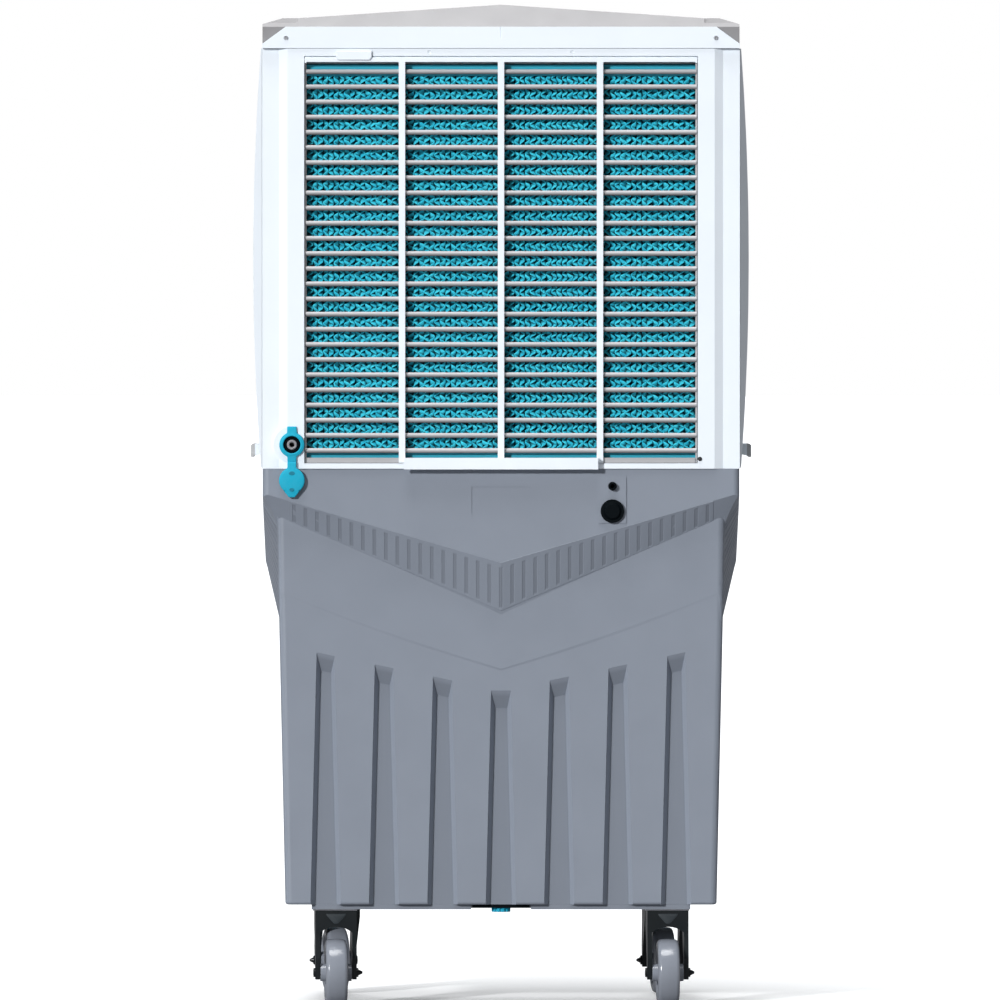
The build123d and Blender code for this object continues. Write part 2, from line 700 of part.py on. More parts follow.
# ---------------------------------------------------------------- pads and water
def water_distributor():
    """U-shaped trough over the three pads, with drip holes and a cup over the pump hose."""
    low = PAD_HIGH + 2
    high = low + 14
    rear_y = PAD_FACE_Y

    def plan(inset, z0, z1):
        outer = block(-SIDE_PAD_FACE_X + inset, SIDE_PAD_FACE_X - inset, -SIDE_PAD_HALF + inset,
                      rear_y - inset, z0, z1)
        inner = block(-256 - inset, 256 + inset, -SIDE_PAD_HALF - 2, 154 - inset, z0 - 1, z1 + 1)
        r = 14 - inset
        cup = block(HOSE_X - r, HOSE_X + r, HOSE_Y - r, HOSE_Y + r, z0, z1)
        link = block(-260, HOSE_X, HOSE_Y - 14 + inset, HOSE_Y + 14 - inset, z0, z1)
        corners = [
            block(a, b, 197 - inset, rear_y + 2, z0 - 1, z1 + 1)
            for a, b in ((-SIDE_PAD_FACE_X - 2, -308 + inset), (308 - inset, SIDE_PAD_FACE_X + 2))
        ]
        return joined([without(outer, [inner] + corners), cup, link])

    trough = plan(0.0, low, high) - plan(2.5, low + 2.5, high + 1)
    drips = [rod("Z", 2.0, low - 1, low + 4, (x, 186)) for x in range(-240, 241, 60)]
    drips += [rod("Z", 2.0, low - 1, low + 4, (s * 288, y)) for y in range(-120, 121, 60) for s in (-1, 1)]
    feed = rod("Z", 5.5, low - 1, low + 4, (HOSE_X, HOSE_Y))
    return without(trough, drips + [feed])


def pump_body():
    """Submersible pump: round housing over the impeller chamber, feet and an outlet stub."""
    floor = TANK_BOTTOM + TANK_WALL
    at = (PUMP_X, PUMP_Y)
    housing = rod("Z", 36.0, floor + 6, floor + 70, at)
    cap = rod("Z", 30.0, floor + 70, floor + 78, at)
    outlet = rod("Z", 8.0, floor + 60, floor + 95, (HOSE_X, HOSE_Y))
    feet = [
        rod("Z", 5.0, floor + 0.1, floor + 8, (PUMP_X + 30 * cos(a), PUMP_Y + 30 * sin(a)))
        for a in (0.3, 0.3 + 2 * pi / 3, 0.3 + 4 * pi / 3)
    ]
    chamber = rod("Z", 28.0, floor + 10, floor + 24, at)
    intake = rod("Z", 12.0, floor + 4, floor + 12, at)
    shaft_bore = rod("Z", 3.0 + FIT, floor + 20, floor + 52, at)
    slots = [
        Pos(PUMP_X, PUMP_Y, floor + 17) * Rot(0, 0, 30 * i) * Pos(33, 0, 0) * Box(12, 4, 10)
        for i in range(12)
    ]
    return without(joined([housing, cap, outlet] + feet), [chamber, intake, shaft_bore] + slots)


def pump_impeller():
    floor = TANK_BOTTOM + TANK_WALL
    at = (PUMP_X, PUMP_Y)
    disc = rod("Z", 25.0, floor + 12, floor + 14, at)
    hub = rod("Z", 7.0, floor + 12, floor + 21, at)
    shaft = rod("Z", 3.0, floor + 21, floor + 50, at)
    vanes = [
        Pos(PUMP_X, PUMP_Y, floor + 17) * Rot(0, 0, 60 * i) * Pos(15, 0, 0) * Box(18, 2, 7) for i in range(6)
    ]
    return joined([disc, hub, shaft] + vanes)


def pump_hose():
    low = TANK_BOTTOM + TANK_WALL + 80
    tube = ring("Z", 10.0, 8.05, low, PAD_HIGH + 1.9, (HOSE_X, HOSE_Y))
    clip = ring("Z", 11.5, 10.0, low + 3, low + 9, (HOSE_X, HOSE_Y))
    return joined([tube, clip])


def float_valve():
    """Inlet stub through the rear frame, valve body and the clevis for the float arm."""
    at = (INLET_X, INLET_Z)
    stub = rod("Y", INLET_STUB_R, 224, 241, at)
    nut = Pos(INLET_X, 224, INLET_Z) * Rot(90, 0, 0) * extrude(RegularPolygon(11.0, 6), 8)
    body = rod("Y", 9.0, 176, 220, at)
    drop = rod("Z", 7.0, 756, INLET_Z, (INLET_X, VALVE_Y))
    ears = [
        block(INLET_X + a, INLET_X + b, VALVE_Y - 5, VALVE_Y + 6, ARM_Z - 5, 760)
        for a, b in ((-8.5, -5.5), (5.5, 8.5))
    ]
    bridge = block(INLET_X - 8.5, INLET_X + 8.5, VALVE_Y - 5, VALVE_Y + 6, 752, 760)
    solid = joined([stub, nut, body, drop, bridge] + ears)
    through = rod("Y", 3.3, 200, 245, at)
    pin_hole = rod("X", 2.0 + FIT, INLET_X - 12, INLET_X + 12, (VALVE_Y, ARM_Z))
    return without(solid, [through, pin_hole])


def float_arm():
    """Arm, pivot pin and ball float, at rest in an empty tank."""
    start = Vector(INLET_X, VALVE_Y, ARM_Z)
    end = Vector(*BALL)
    span = end - start
    middle = start + span * 0.5
    knuckle = rod("X", 4.5, INLET_X - 5, INLET_X + 5, (VALVE_Y, ARM_Z))
    pin = rod("X", 2.0, INLET_X - 9.5, INLET_X + 9.5, (VALVE_Y, ARM_Z))
    tilt = Plane(origin=middle, z_dir=span)
    bar = tilt * Cylinder(2.2, span.length)
    ball = Pos(*BALL) * Sphere(29.0)
    return joined([knuckle, pin, bar, ball])


def inlet_collar():
    """Soft ring round the inlet with a finger tab above and the fixed half of the cap's strap."""
    y0 = FIELD_Y + 0.02
    body = rod("Y", COLLAR_R, y0, 243, (INLET_X, INLET_Z))
    tab = block(INLET_X - 6.5, INLET_X + 6.5, y0, 241.5, INLET_Z + 12, INLET_Z + 25.5)
    strap = block(INLET_X - 6, INLET_X + 6, y0 + 0.5, 241.0, STRAP_Z + 1.6, INLET_Z - 12)
    return joined([body, tab, strap]) - rod("Y", 12.0, 230, 250, (INLET_X, INLET_Z))


def inlet_cap():
    """Cap that hangs from the strap, with a round plug on its inner face and a pull tab."""
    y0 = FIELD_Y + 0.5
    disc = rod("Y", CAP_R, y0, 245, (INLET_X, CAP_Z))
    drop = 23.0
    reach = sqrt(drop * drop - (CAP_R - 5) ** 2)
    side = (CAP_R - 5) / drop
    tip_z = CAP_Z - drop + 5
    tangent = [
        (INLET_X - CAP_R * sqrt(1 - side * side), CAP_Z - CAP_R * side),
        (INLET_X + CAP_R * sqrt(1 - side * side), CAP_Z - CAP_R * side),
        (INLET_X + 4.5, tip_z - 4), (INLET_X - 4.5, tip_z - 4),
    ]
    tab = prism_xz(tangent, y0, 243.5)
    strap = block(INLET_X - 6, INLET_X + 6, y0, 241.0, CAP_Z + 14, STRAP_Z)
    bead = rod("X", STRAP_BEAD_R, INLET_X - 6, INLET_X + 6, (STRAP_Y, STRAP_Z))
    dimples = [
        rod("Y", 2.6, 243.5, 250, (INLET_X, CAP_Z + 9)),
        rod("Y", 2.2, 242.3, 250, (INLET_X, CAP_Z - 16)),
    ]
    return without(joined([disc, tab, strap, bead]), dimples)


def level_lens():
    """Clear window in the tank's front, with the guide rod of the level float behind it."""
    y = -(zone_c(LEVEL_LOW) - DEPTH_LESS)
    lens = block(-LEVEL_HALF + 0.1, LEVEL_HALF - 0.1, y - 1.5, y + 6, LEVEL_LOW + 0.1, LEVEL_HIGH - 0.1)
    arms = [block(-4, 4, y + 5, y + 26, z - 3, z + 3) for z in (LEVEL_LOW + 8, LEVEL_HIGH - 8)]
    guide = rod("Z", 2.5, LEVEL_LOW + 6, LEVEL_HIGH - 6, (0, y + 22))
    return joined([lens, guide] + arms)


def level_float():
    y = -(zone_c(LEVEL_LOW) - DEPTH_LESS)
    body = block(-10, 10, y + 9, y + 34, LEVEL_LOW + 13, LEVEL_LOW + 29)
    return body - rod("Z", 2.5 + FIT, LEVEL_LOW, LEVEL_HIGH, (0, y + 22))


# ---------------------------------------------------------------- fan
def fan_shroud():
    plate = block(-305, 305, SHROUD_FRONT_Y, SHROUD_FRONT_Y + SHROUD_T, 790, 1336)
    tube = ring("Y", SHROUD_R + SHROUD_T, SHROUD_R, SHROUD_FRONT_Y, SHROUD_BACK_Y, (0, FAN_Z))
    return joined([plate, tube]) - rod("Y", SHROUD_R, SHROUD_FRONT_Y - 1, SHROUD_BACK_Y + 1, (0, FAN_Z))


def motor_bracket():
    """Cross of flat arms behind the fan that carries the motor."""
    y0 = SHROUD_BACK_Y + 0.02
    y1 = MOTOR_FRONT_Y - 0.02
    arms = [
        block(-236, 236, y0, y1, FAN_Z - 14, FAN_Z + 14),
        block(-14, 14, y0, y1, FAN_Z - 236, FAN_Z + 236),
    ]
    hub = rod("Y", 60.0, y0, y1, (0, FAN_Z))
    return joined(arms + [hub]) - rod("Y", 20.0, y0 - 1, y1 + 1, (0, FAN_Z))


def fan_motor():
    at = (0, FAN_Z)
    barrel = rod("Y", MOTOR_R, MOTOR_FRONT_Y, MOTOR_BACK_Y - 12, at)
    dome = cone_y(MOTOR_R, 45.0, MOTOR_BACK_Y - 12, MOTOR_BACK_Y, at)
    grooves = [
        Pos(0, (MOTOR_FRONT_Y + MOTOR_BACK_Y) / 2 - 6, FAN_Z) * Rot(0, 15 * i, 0) * Pos(MOTOR_R, 0, 0)
        * Box(8, 60, 4) for i in range(24)
    ]
    bore = rod("Y", SHAFT_R + FIT, MOTOR_FRONT_Y - 1, MOTOR_FRONT_Y + 50, at)
    return without(joined([barrel, dome]), grooves + [bore])


def fan_rotor():
    """Hub, five pitched blades and the shaft into the motor."""
    y = (SHROUD_FRONT_Y + SHROUD_BACK_Y) / 2
    at = (0, FAN_Z)
    hub = rod("Y", HUB_R, y - 26, y + 26, at)
    nose = cone_y(34.0, HUB_R, y - 36, y - 26, at)
    shaft = rod("Y", SHAFT_R, y + 26, MOTOR_FRONT_Y + 46, at)
    blades = []
    for i in range(BLADE_COUNT):
        near = Pos(0, 0, HUB_R - 6) * Rot(0, 0, 38) * Rectangle(70, 4)
        far = Pos(0, 0, FAN_R) * Rot(0, 0, 20) * Rectangle(120, 3)
        blade = loft([near, far])
        blades.append(Pos(0, y, FAN_Z) * Rot(0, 360 / BLADE_COUNT * i, 0) * blade)
    inside = rod("Y", FAN_R, y - 40, y + 40, at)
    blades = [b & inside for b in blades]
    return joined([hub, nose, shaft] + blades)


# ---------------------------------------------------------------- louvres
def louvre_zs():
    middle = (OUTLET_LOW + OUTLET_HIGH) / 2
    return [middle + (i - (LOUVRE_COUNT - 1) / 2) * LOUVRE_PITCH for i in range(LOUVRE_COUNT)]


def swing_xs():
    return [(i - (SWING_COUNT - 1) / 2) * SWING_PITCH for i in range(SWING_COUNT)]


def louvre_frame():
    """Duct in the front window that holds the pins of both sets of blades."""
    outer = block(-DUCT_HALF, DUCT_HALF, -240.5, DUCT_BACK_Y, DUCT_LOW, DUCT_HIGH)
    lip = block(-DUCT_HALF - 5, DUCT_HALF + 5, -240.5, -238.1, DUCT_LOW - 5, DUCT_HIGH + 5)
    inner = block(-DUCT_HALF + DUCT_WALL, DUCT_HALF - DUCT_WALL, -250, -150, DUCT_LOW + DUCT_WALL,
                  DUCT_HIGH - DUCT_WALL)
    bores = []
    for z in louvre_zs():
        bores.append(rod("X", LOUVRE_PIN_R + FIT, -DUCT_HALF - 1, DUCT_HALF + 1, (LOUVRE_Y, z)))
    for x in swing_xs():
        bores.append(rod("Z", SWING_PIN_R + FIT, DUCT_LOW - 1, DUCT_HIGH + 1, (x, SWING_Y)))
    return without(joined([outer, lip]), [inner] + bores)


def louvre(z):
    """Horizontal outlet blade: a thin lens section, end pins and a crank pin for the link bar."""
    half = DUCT_HALF - DUCT_WALL - 1
    c = LOUVRE_CHORD / 2
    t = LOUVRE_T / 2
    edge = 0.8
    section = [
        (-c, -edge), (-c / 2, -t), (c / 2, -t), (c, -edge), (c, edge), (c / 2, t), (-c / 2, t), (-c, edge),
    ]
    blade = prism_yz([(LOUVRE_Y + y, z + dz) for y, dz in section], -half, half)
    notch = block(LINK_X - 5, LINK_X + 5, LOUVRE_Y + LOUVRE_CRANK - 7, LOUVRE_Y + c + 1, z - 5, z + 5)
    crank = rod("X", LINK_PIN_R, LINK_X - 6, LINK_X + 6, (LOUVRE_Y + LOUVRE_CRANK, z))
    pins = rod("X", LOUVRE_PIN_R, -DUCT_HALF, DUCT_HALF, (LOUVRE_Y, z))
    return joined([blade - notch, pins, crank])


def louvre_link():
    zs = louvre_zs()
    y = LOUVRE_Y + LOUVRE_CRANK
    bar = block(LINK_X - LINK_T / 2, LINK_X + LINK_T / 2, y - 3, y + 3, zs[0] - 5, zs[-1] + 5)
    return without(bar, [rod("X", LINK_PIN_R + FIT, LINK_X - 5, LINK_X + 5, (y, z)) for z in zs])


def swing_blade(x):
    """Upright blade behind the louvres that the swing motor turns."""
    low = DUCT_LOW + DUCT_WALL + 1
    high = DUCT_HIGH - DUCT_WALL - 1
    c = SWING_CHORD / 2
    t = SWING_T / 2
    edge = 0.8
    flat = c * 0.4
    section = [
        (-edge, -c), (-t, -flat), (-t, flat), (-edge, c), (edge, c), (t, flat), (t, -flat), (edge, -c),
    ]
    blade = prism_xy([(x + dx, SWING_Y + y) for dx, y in section], low, high)
    notch = block(x - 5, x + 5, SWING_Y + SWING_CRANK - 5.5, SWING_Y + c + 1,
                  SWING_LINK_Z - 5, SWING_LINK_Z + 5)
    crank = rod("Z", LINK_PIN_R, SWING_LINK_Z - 6, SWING_LINK_Z + 6, (x, SWING_Y + SWING_CRANK))
    pins = rod("Z", SWING_PIN_R, DUCT_LOW, DUCT_HIGH, (x, SWING_Y))
    ends = joined([pins & block(x - 9, x + 9, SWING_Y - 9, SWING_Y + 9, 0, low + 20),
                   pins & block(x - 9, x + 9, SWING_Y - 9, SWING_Y + 9, high - 20, 2000)])
    return joined([blade - notch, ends, crank])


def swing_link():
    xs = swing_xs()
    y = SWING_Y + SWING_CRANK
    half = LINK_T / 2
    bar = block(xs[0] - 4.5, xs[-1] + 4.5, y - 2.8, y + 2.8, SWING_LINK_Z - half, SWING_LINK_Z + half)
    holes = [rod("Z", LINK_PIN_R + FIT, SWING_LINK_Z - 5, SWING_LINK_Z + 5, (x, y)) for x in xs]
    return without(bar, holes)


# ---------------------------------------------------------------- controls
def control_panel():
    outline = RectangleRounded(350, 66, 12)
    plate = Pos(0, -238.1, KNOB_Z) * Rot(90, 0, 0) * extrude(outline, 3.0)
    shafts = [rod("Y", KNOB_SHAFT_R + 1, -245, -230, (x, KNOB_Z)) for x in KNOB_XS]
    rims = [ring("Y", KNOB_R + 5, KNOB_R + 3, -242.2, -241, (x, KNOB_Z)) for x in KNOB_XS]
    return without(joined([plate] + rims), shafts)


def knob(x):
    """Turning knob with a grip bar across its face and a shaft through the panel."""
    at = (x, KNOB_Z)
    skirt = cone_y(KNOB_R - 2, KNOB_R, -246, -241.6, at)
    grip = block(x - 4, x + 4, -252, -245, KNOB_Z - KNOB_R + 2, KNOB_Z + KNOB_R - 2)
    shaft = rod("Y", KNOB_SHAFT_R, -241.6, -228, at)
    return joined([skirt, grip, shaft])


# ---------------------------------------------------------------- casters
def caster_plates():
    """Four fixing plates with a screw hole in each corner."""
    plates = []
    for sx, sy, _ in CASTERS.values():
        x = sx * CASTER_X
        y = sy * CASTER_Y
        h = CASTER_PLATE_HALF
        plate = block(x - h, x + h, y - h, y + h, CASTER_PLATE_LOW, CASTER_PLATE_HIGH - 0.02)
        bore = rod("Z", KINGPIN_R + FIT, CASTER_PLATE_LOW - 1, CASTER_PLATE_HIGH + 1, (x, y))
        holes = [
            rod("Z", PLATE_HOLE_R, CASTER_PLATE_LOW - 1, CASTER_PLATE_HIGH + 1,
                (x + a * PLATE_HOLE, y + b * PLATE_HOLE))
            for a in (-1, 1) for b in (-1, 1)
        ]
        plates.append(without(plate, [bore] + holes))
    return Compound(children=plates)


def placed(side_x, side_y, angle):
    return Pos(side_x * CASTER_X, side_y * CASTER_Y, 0) * Rot(0, 0, angle)


def caster_fork():
    """Swivel fork with crown, kingpin, arched hood and tapering legs; the wheel trails to +Y."""
    back, front = FORK_Y
    top = CASTER_PLATE_LOW - 0.3
    legs = []
    for side in (-1, 1):
        a, b = sorted((side * (FORK_HALF - FORK_T), side * FORK_HALF))
        outline = [(back, top), (front, top), (front, HOOD_LOW), (TRAIL + 12, 68), (TRAIL + 8, 38),
                   (TRAIL - 8, 38), (TRAIL - 14, 68), (back, 112)]
        legs.append(prism_yz(outline, a, b))
    crown = block(-FORK_HALF, FORK_HALF, back, front, top - CROWN_T, top)
    hood = block(-FORK_HALF, FORK_HALF, front - HOOD_T, front, HOOD_LOW, top)
    arch = rod("Y", HOOD_ARCH_R, front - 2 * HOOD_T, front + HOOD_T, (0, HOOD_ARCH_Z))
    kingpin = rod("Z", KINGPIN_R, top, CASTER_PLATE_HIGH + 5, (0, 0))
    bore = rod("X", AXLE_R + 0.02, -FORK_HALF - 2, FORK_HALF + 2, (TRAIL, AXLE_Z))
    body = without(joined(legs + [crown, hood - arch, kingpin]), [bore])
    axle = rod("X", AXLE_R, -FORK_HALF - 3, FORK_HALF + 3, (TRAIL, AXLE_Z))
    washers = [rod("X", 6.5, a, a + 2.6, (TRAIL, AXLE_Z)) for a in (FORK_HALF + 0.02, -FORK_HALF - 2.62)]
    tip = Pos(-FORK_HALF - 5.4, TRAIL, AXLE_Z) * Rot(0, -90, 0) * Cone(4.4, 1.6, 6)
    return body, joined([axle, tip] + washers)


def caster_wheel():
    """Moulded wheel with a crowned tread, hub and recessed web."""
    half = WHEEL_W / 2
    profile = [
        (AXLE_R + FIT, -22), (12, -22), (13, -half + 6), (33, -half + 6), (36, -half + 1), (40, -half),
        (44.6, -half + 1.6), (46.7, -half + 5), (WHEEL_R, 0), (46.7, half - 5), (44.6, half - 1.6),
        (40, half), (36, half - 1), (33, half - 6), (13, half - 6), (12, 22), (AXLE_R + FIT, 22),
    ]
    face = Face(polygon([(0, r, x) for r, x in profile]))
    wheel = as_part(Solid.revolve(face, 360, Axis.Z))
    return Pos(0, TRAIL, AXLE_Z) * Rot(0, 90, 0) * wheel


def brake_pedal():
    """Foot pedal over the hood of a front caster, on a pin through two ears of its own."""
    arm = prism_yz([(BRAKE_Y - 4, BRAKE_Z + 4), (BRAKE_Y + 4, BRAKE_Z + 4), (BRAKE_Y + 34, BRAKE_Z + 14),
                    (BRAKE_Y + 36, BRAKE_Z + 10), (BRAKE_Y + 6, BRAKE_Z - 4),
                    (BRAKE_Y - 3, BRAKE_Z - 4)], -15, 15)
    return arm - rod("X", 2.0 + FIT, -30, 30, (BRAKE_Y, BRAKE_Z))


def brake_mount():
    """Ears and pin on the hood that carry the pedal."""
    ears = [
        prism_yz([(32, 120), (38, 120), (BRAKE_Y + 5, BRAKE_Z), (BRAKE_Y + 3, BRAKE_Z - 5),
                  (32, BRAKE_Z - 1)], a, b) for a, b in ((-20, -15.5), (15.5, 20))
    ]
    pin = rod("X", 2.0, -20, 20, (BRAKE_Y, BRAKE_Z))
    return joined(ears + [pin])


def write_casters():
    for name, (sx, sy, angle) in CASTERS.items():
        turn = angle if sy > 0 else angle + 180
        place = placed(sx, sy, turn)
        body, axle = caster_fork()
        if sy < 0:
            body = joined([body, brake_mount()])
            write(f"{name}_brake_pedal", place * brake_pedal())
        write(f"{name}_fork", Compound(children=[place * body, place * axle]))
        write(f"{name}_wheel", place * caster_wheel())


# ---------------------------------------------------------------- assembly
def main():
    os.makedirs("parts", exist_ok=True)
    write("tank", tank())
    write("base_frame", base_frame())
    write("drain_plug", drain_plug())
    write("drain_seat", drain_seat())
    write("overflow_bung", overflow_bung())
    write("cord_gland", cord_gland())
    write("rear_frame", rear_frame())
    write("rear_fascia", rear_fascia())
    write("cover_screws", cover_screws())
    write("front_panel", front_panel())
    left = side_frame()
    write("left_side_frame", left)
    write("right_side_frame", Rot(0, 0, 180) * left)
    write("top_cover", top_cover())
    write("rear_grille", rear_grille())
    left_grille = side_grille()
    write("left_grille", left_grille)
    write("right_grille", Rot(0, 0, 180) * left_grille)
    write("rear_pad", block(-PAD_HALF, PAD_HALF, PAD_FACE_Y - PAD_T, PAD_FACE_Y, PAD_LOW, PAD_HIGH))
    for name, side in (("left_pad", 1), ("right_pad", -1)):
        a, b = sorted((side * (SIDE_PAD_FACE_X - PAD_T), side * SIDE_PAD_FACE_X))
        write(name, block(a, b, -SIDE_PAD_HALF, SIDE_PAD_HALF, PAD_LOW, PAD_HIGH))
    write("water_distributor", water_distributor())
    write("pump_body", pump_body())
    write("pump_impeller", pump_impeller())
    write("pump_hose", pump_hose())
    write("float_valve", float_valve())
    write("float_arm", float_arm())
    write("inlet_collar", inlet_collar())
    write("inlet_cap", inlet_cap())
    write("level_lens", level_lens())
    write("level_float", level_float())
    write("fan_shroud", fan_shroud())
    write("motor_bracket", motor_bracket())
    write("fan_motor", fan_motor())
    write("fan_rotor", fan_rotor())
    write("louvre_frame", louvre_frame())
    for i, z in enumerate(louvre_zs()):
        write(f"louvre_{i + 1}", louvre(z))
    write("louvre_link", louvre_link())
    for i, x in enumerate(swing_xs()):
        write(f"swing_blade_{i + 1}", swing_blade(x))
    write("swing_link", swing_link())
    write("control_panel", control_panel())
    for name, x in zip(("speed_knob", "cooling_knob", "swing_knob"), KNOB_XS):
        write(name, knob(x))
    write("caster_plates", caster_plates())
    write_casters()


main()
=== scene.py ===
import json
import math
import random

import bmesh
import bpy
from mathutils import Matrix, Vector


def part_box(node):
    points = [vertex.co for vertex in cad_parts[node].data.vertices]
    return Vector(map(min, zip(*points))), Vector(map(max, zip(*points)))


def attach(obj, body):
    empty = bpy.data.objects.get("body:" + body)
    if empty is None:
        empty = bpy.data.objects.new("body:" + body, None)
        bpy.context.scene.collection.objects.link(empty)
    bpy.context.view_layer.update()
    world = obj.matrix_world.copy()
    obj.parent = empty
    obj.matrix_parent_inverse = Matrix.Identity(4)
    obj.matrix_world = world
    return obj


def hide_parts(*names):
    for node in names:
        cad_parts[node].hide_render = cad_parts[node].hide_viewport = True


# Looks of the evaporative cooler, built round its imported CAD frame. Metres, +Z up, +Y to the rear.

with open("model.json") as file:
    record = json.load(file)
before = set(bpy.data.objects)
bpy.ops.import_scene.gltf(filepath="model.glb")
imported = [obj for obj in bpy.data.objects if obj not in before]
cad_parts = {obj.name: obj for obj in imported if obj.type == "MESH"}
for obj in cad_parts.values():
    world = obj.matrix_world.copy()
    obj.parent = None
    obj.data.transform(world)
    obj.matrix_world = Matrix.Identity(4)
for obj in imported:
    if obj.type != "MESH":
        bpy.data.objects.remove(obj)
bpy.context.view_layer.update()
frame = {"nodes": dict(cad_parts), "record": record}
NODES = frame["nodes"]
MM = 0.001


# ---------------------------------------------------------------- materials
# moulded plastic: noise scales, in cycles per metre, and how deep its grain and its slow wave are
CLOUD = 14.0
GLOSS = 35.0
SPARK_GRAIN = 1400.0
GRAIN_DEPTH = 0.06 * MM
SLOW_WAVE = 22.0
WAVE_DEPTH = 0.4 * MM
SPECULAR = 0.4
TANK_MOTTLE = 0.025
TANK_ROUGH = (0.42, 0.55)


def shader_tree(name):
    mat = bpy.data.materials.new(name)
    mat.use_nodes = True
    tree = mat.node_tree
    return mat, tree, tree.nodes["Principled BSDF"]


def add(tree, kind, **values):
    """A shader node with its properties, and the defaults of its sockets, set by name."""
    node = tree.nodes.new(kind)
    for key, value in values.items():
        if hasattr(node, key):
            setattr(node, key, value)
        else:
            node.inputs[key.replace("_", " ").title()].default_value = value
    return node


def noise(tree, scale, detail=3.0, stretch=(1, 1, 1)):
    """Noise in the object's own coordinates, which stay with it as it moves."""
    place = add(tree, "ShaderNodeTexCoord")
    squeeze = add(tree, "ShaderNodeMapping")
    squeeze.inputs["Scale"].default_value = stretch
    cloud = add(tree, "ShaderNodeTexNoise", scale=scale, detail=detail)
    tree.links.new(place.outputs["Object"], squeeze.inputs["Vector"])
    tree.links.new(squeeze.outputs["Vector"], cloud.inputs["Vector"])
    return cloud.outputs["Fac"]


def between(tree, value, low, high, start=0.3, end=0.7):
    span = add(tree, "ShaderNodeMapRange")
    span.inputs["From Min"].default_value = start
    span.inputs["From Max"].default_value = end
    span.inputs["To Min"].default_value = low
    span.inputs["To Max"].default_value = high
    tree.links.new(value, span.inputs["Value"])
    return span.outputs["Result"]


def blend_colours(tree, factor, first, second):
    mix = add(tree, "ShaderNodeMix", data_type="RGBA")
    tree.links.new(factor, mix.inputs[0])
    for socket, colour in ((mix.inputs[6], first), (mix.inputs[7], second)):
        if isinstance(colour, bpy.types.NodeSocket):
            tree.links.new(colour, socket)
        else:
            socket.default_value = (*colour, 1.0)
    return mix.outputs[2]


def bumps(tree, shader, height, depth, strength=1.0, under=None):
    bump = add(tree, "ShaderNodeBump", strength=strength, distance=depth)
    tree.links.new(height, bump.inputs["Height"])
    if under:
        tree.links.new(under, bump.inputs["Normal"])
    tree.links.new(bump.outputs["Normal"], shader.inputs["Normal"])
    return bump.outputs["Normal"]


def scaled(colour, share):
    return tuple(c * share for c in colour)


def mottled(tree, colour, mottle):
    """The colour, faintly cloudy."""
    tone = between(tree, noise(tree, CLOUD, 5.0), 0.0, 1.0)
    return blend_colours(tree, tone, scaled(colour, 1 - mottle), scaled(colour, 1 + mottle))


def moulded_surface(tree, shader, rough, wavy=True, grain=SPARK_GRAIN, depth=GRAIN_DEPTH, specular=SPECULAR):
    """Uneven gloss and fine spark-eroded grain, over a slow wave if it is wavy."""
    tree.links.new(between(tree, noise(tree, GLOSS, 4.0), *rough), shader.inputs["Roughness"])
    shader.inputs["Specular IOR Level"].default_value = specular
    wave = bumps(tree, shader, noise(tree, SLOW_WAVE, 2.0), WAVE_DEPTH, 0.25) if wavy else None
    bumps(tree, shader, noise(tree, grain, 2.0), depth, 0.5, wave)


def moulded(name, colour, rough, grain=SPARK_GRAIN, depth=GRAIN_DEPTH, mottle=0.03, specular=SPECULAR):
    """Injection-moulded plastic of one colour."""
    mat, tree, shader = shader_tree(name)
    tree.links.new(mottled(tree, colour, mottle), shader.inputs["Base Color"])
    moulded_surface(tree, shader, rough, grain=grain, depth=depth, specular=specular)
    return mat


def grooved(name, colour, shade):
    """Moulded plastic with painted shade: a darker tone where the mesh says it lies in a groove."""
    mat, tree, shader = shader_tree(name)
    face = mottled(tree, colour, TANK_MOTTLE)
    inward = add(tree, "ShaderNodeAttribute", attribute_name="inward")
    colours = blend_colours(tree, inward.outputs["Fac"], face, scaled(colour, shade))
    tree.links.new(colours, shader.inputs["Base Color"])
    moulded_surface(tree, shader, TANK_ROUGH, wavy=False)
    return mat


def maths(tree, operation, first, second=0.0):
    node = add(tree, "ShaderNodeMath", operation=operation)
    for socket, value in zip(node.inputs, (first, second)):
        if isinstance(value, bpy.types.NodeSocket):
            tree.links.new(value, socket)
        else:
            socket.default_value = value
    return node.outputs[0]


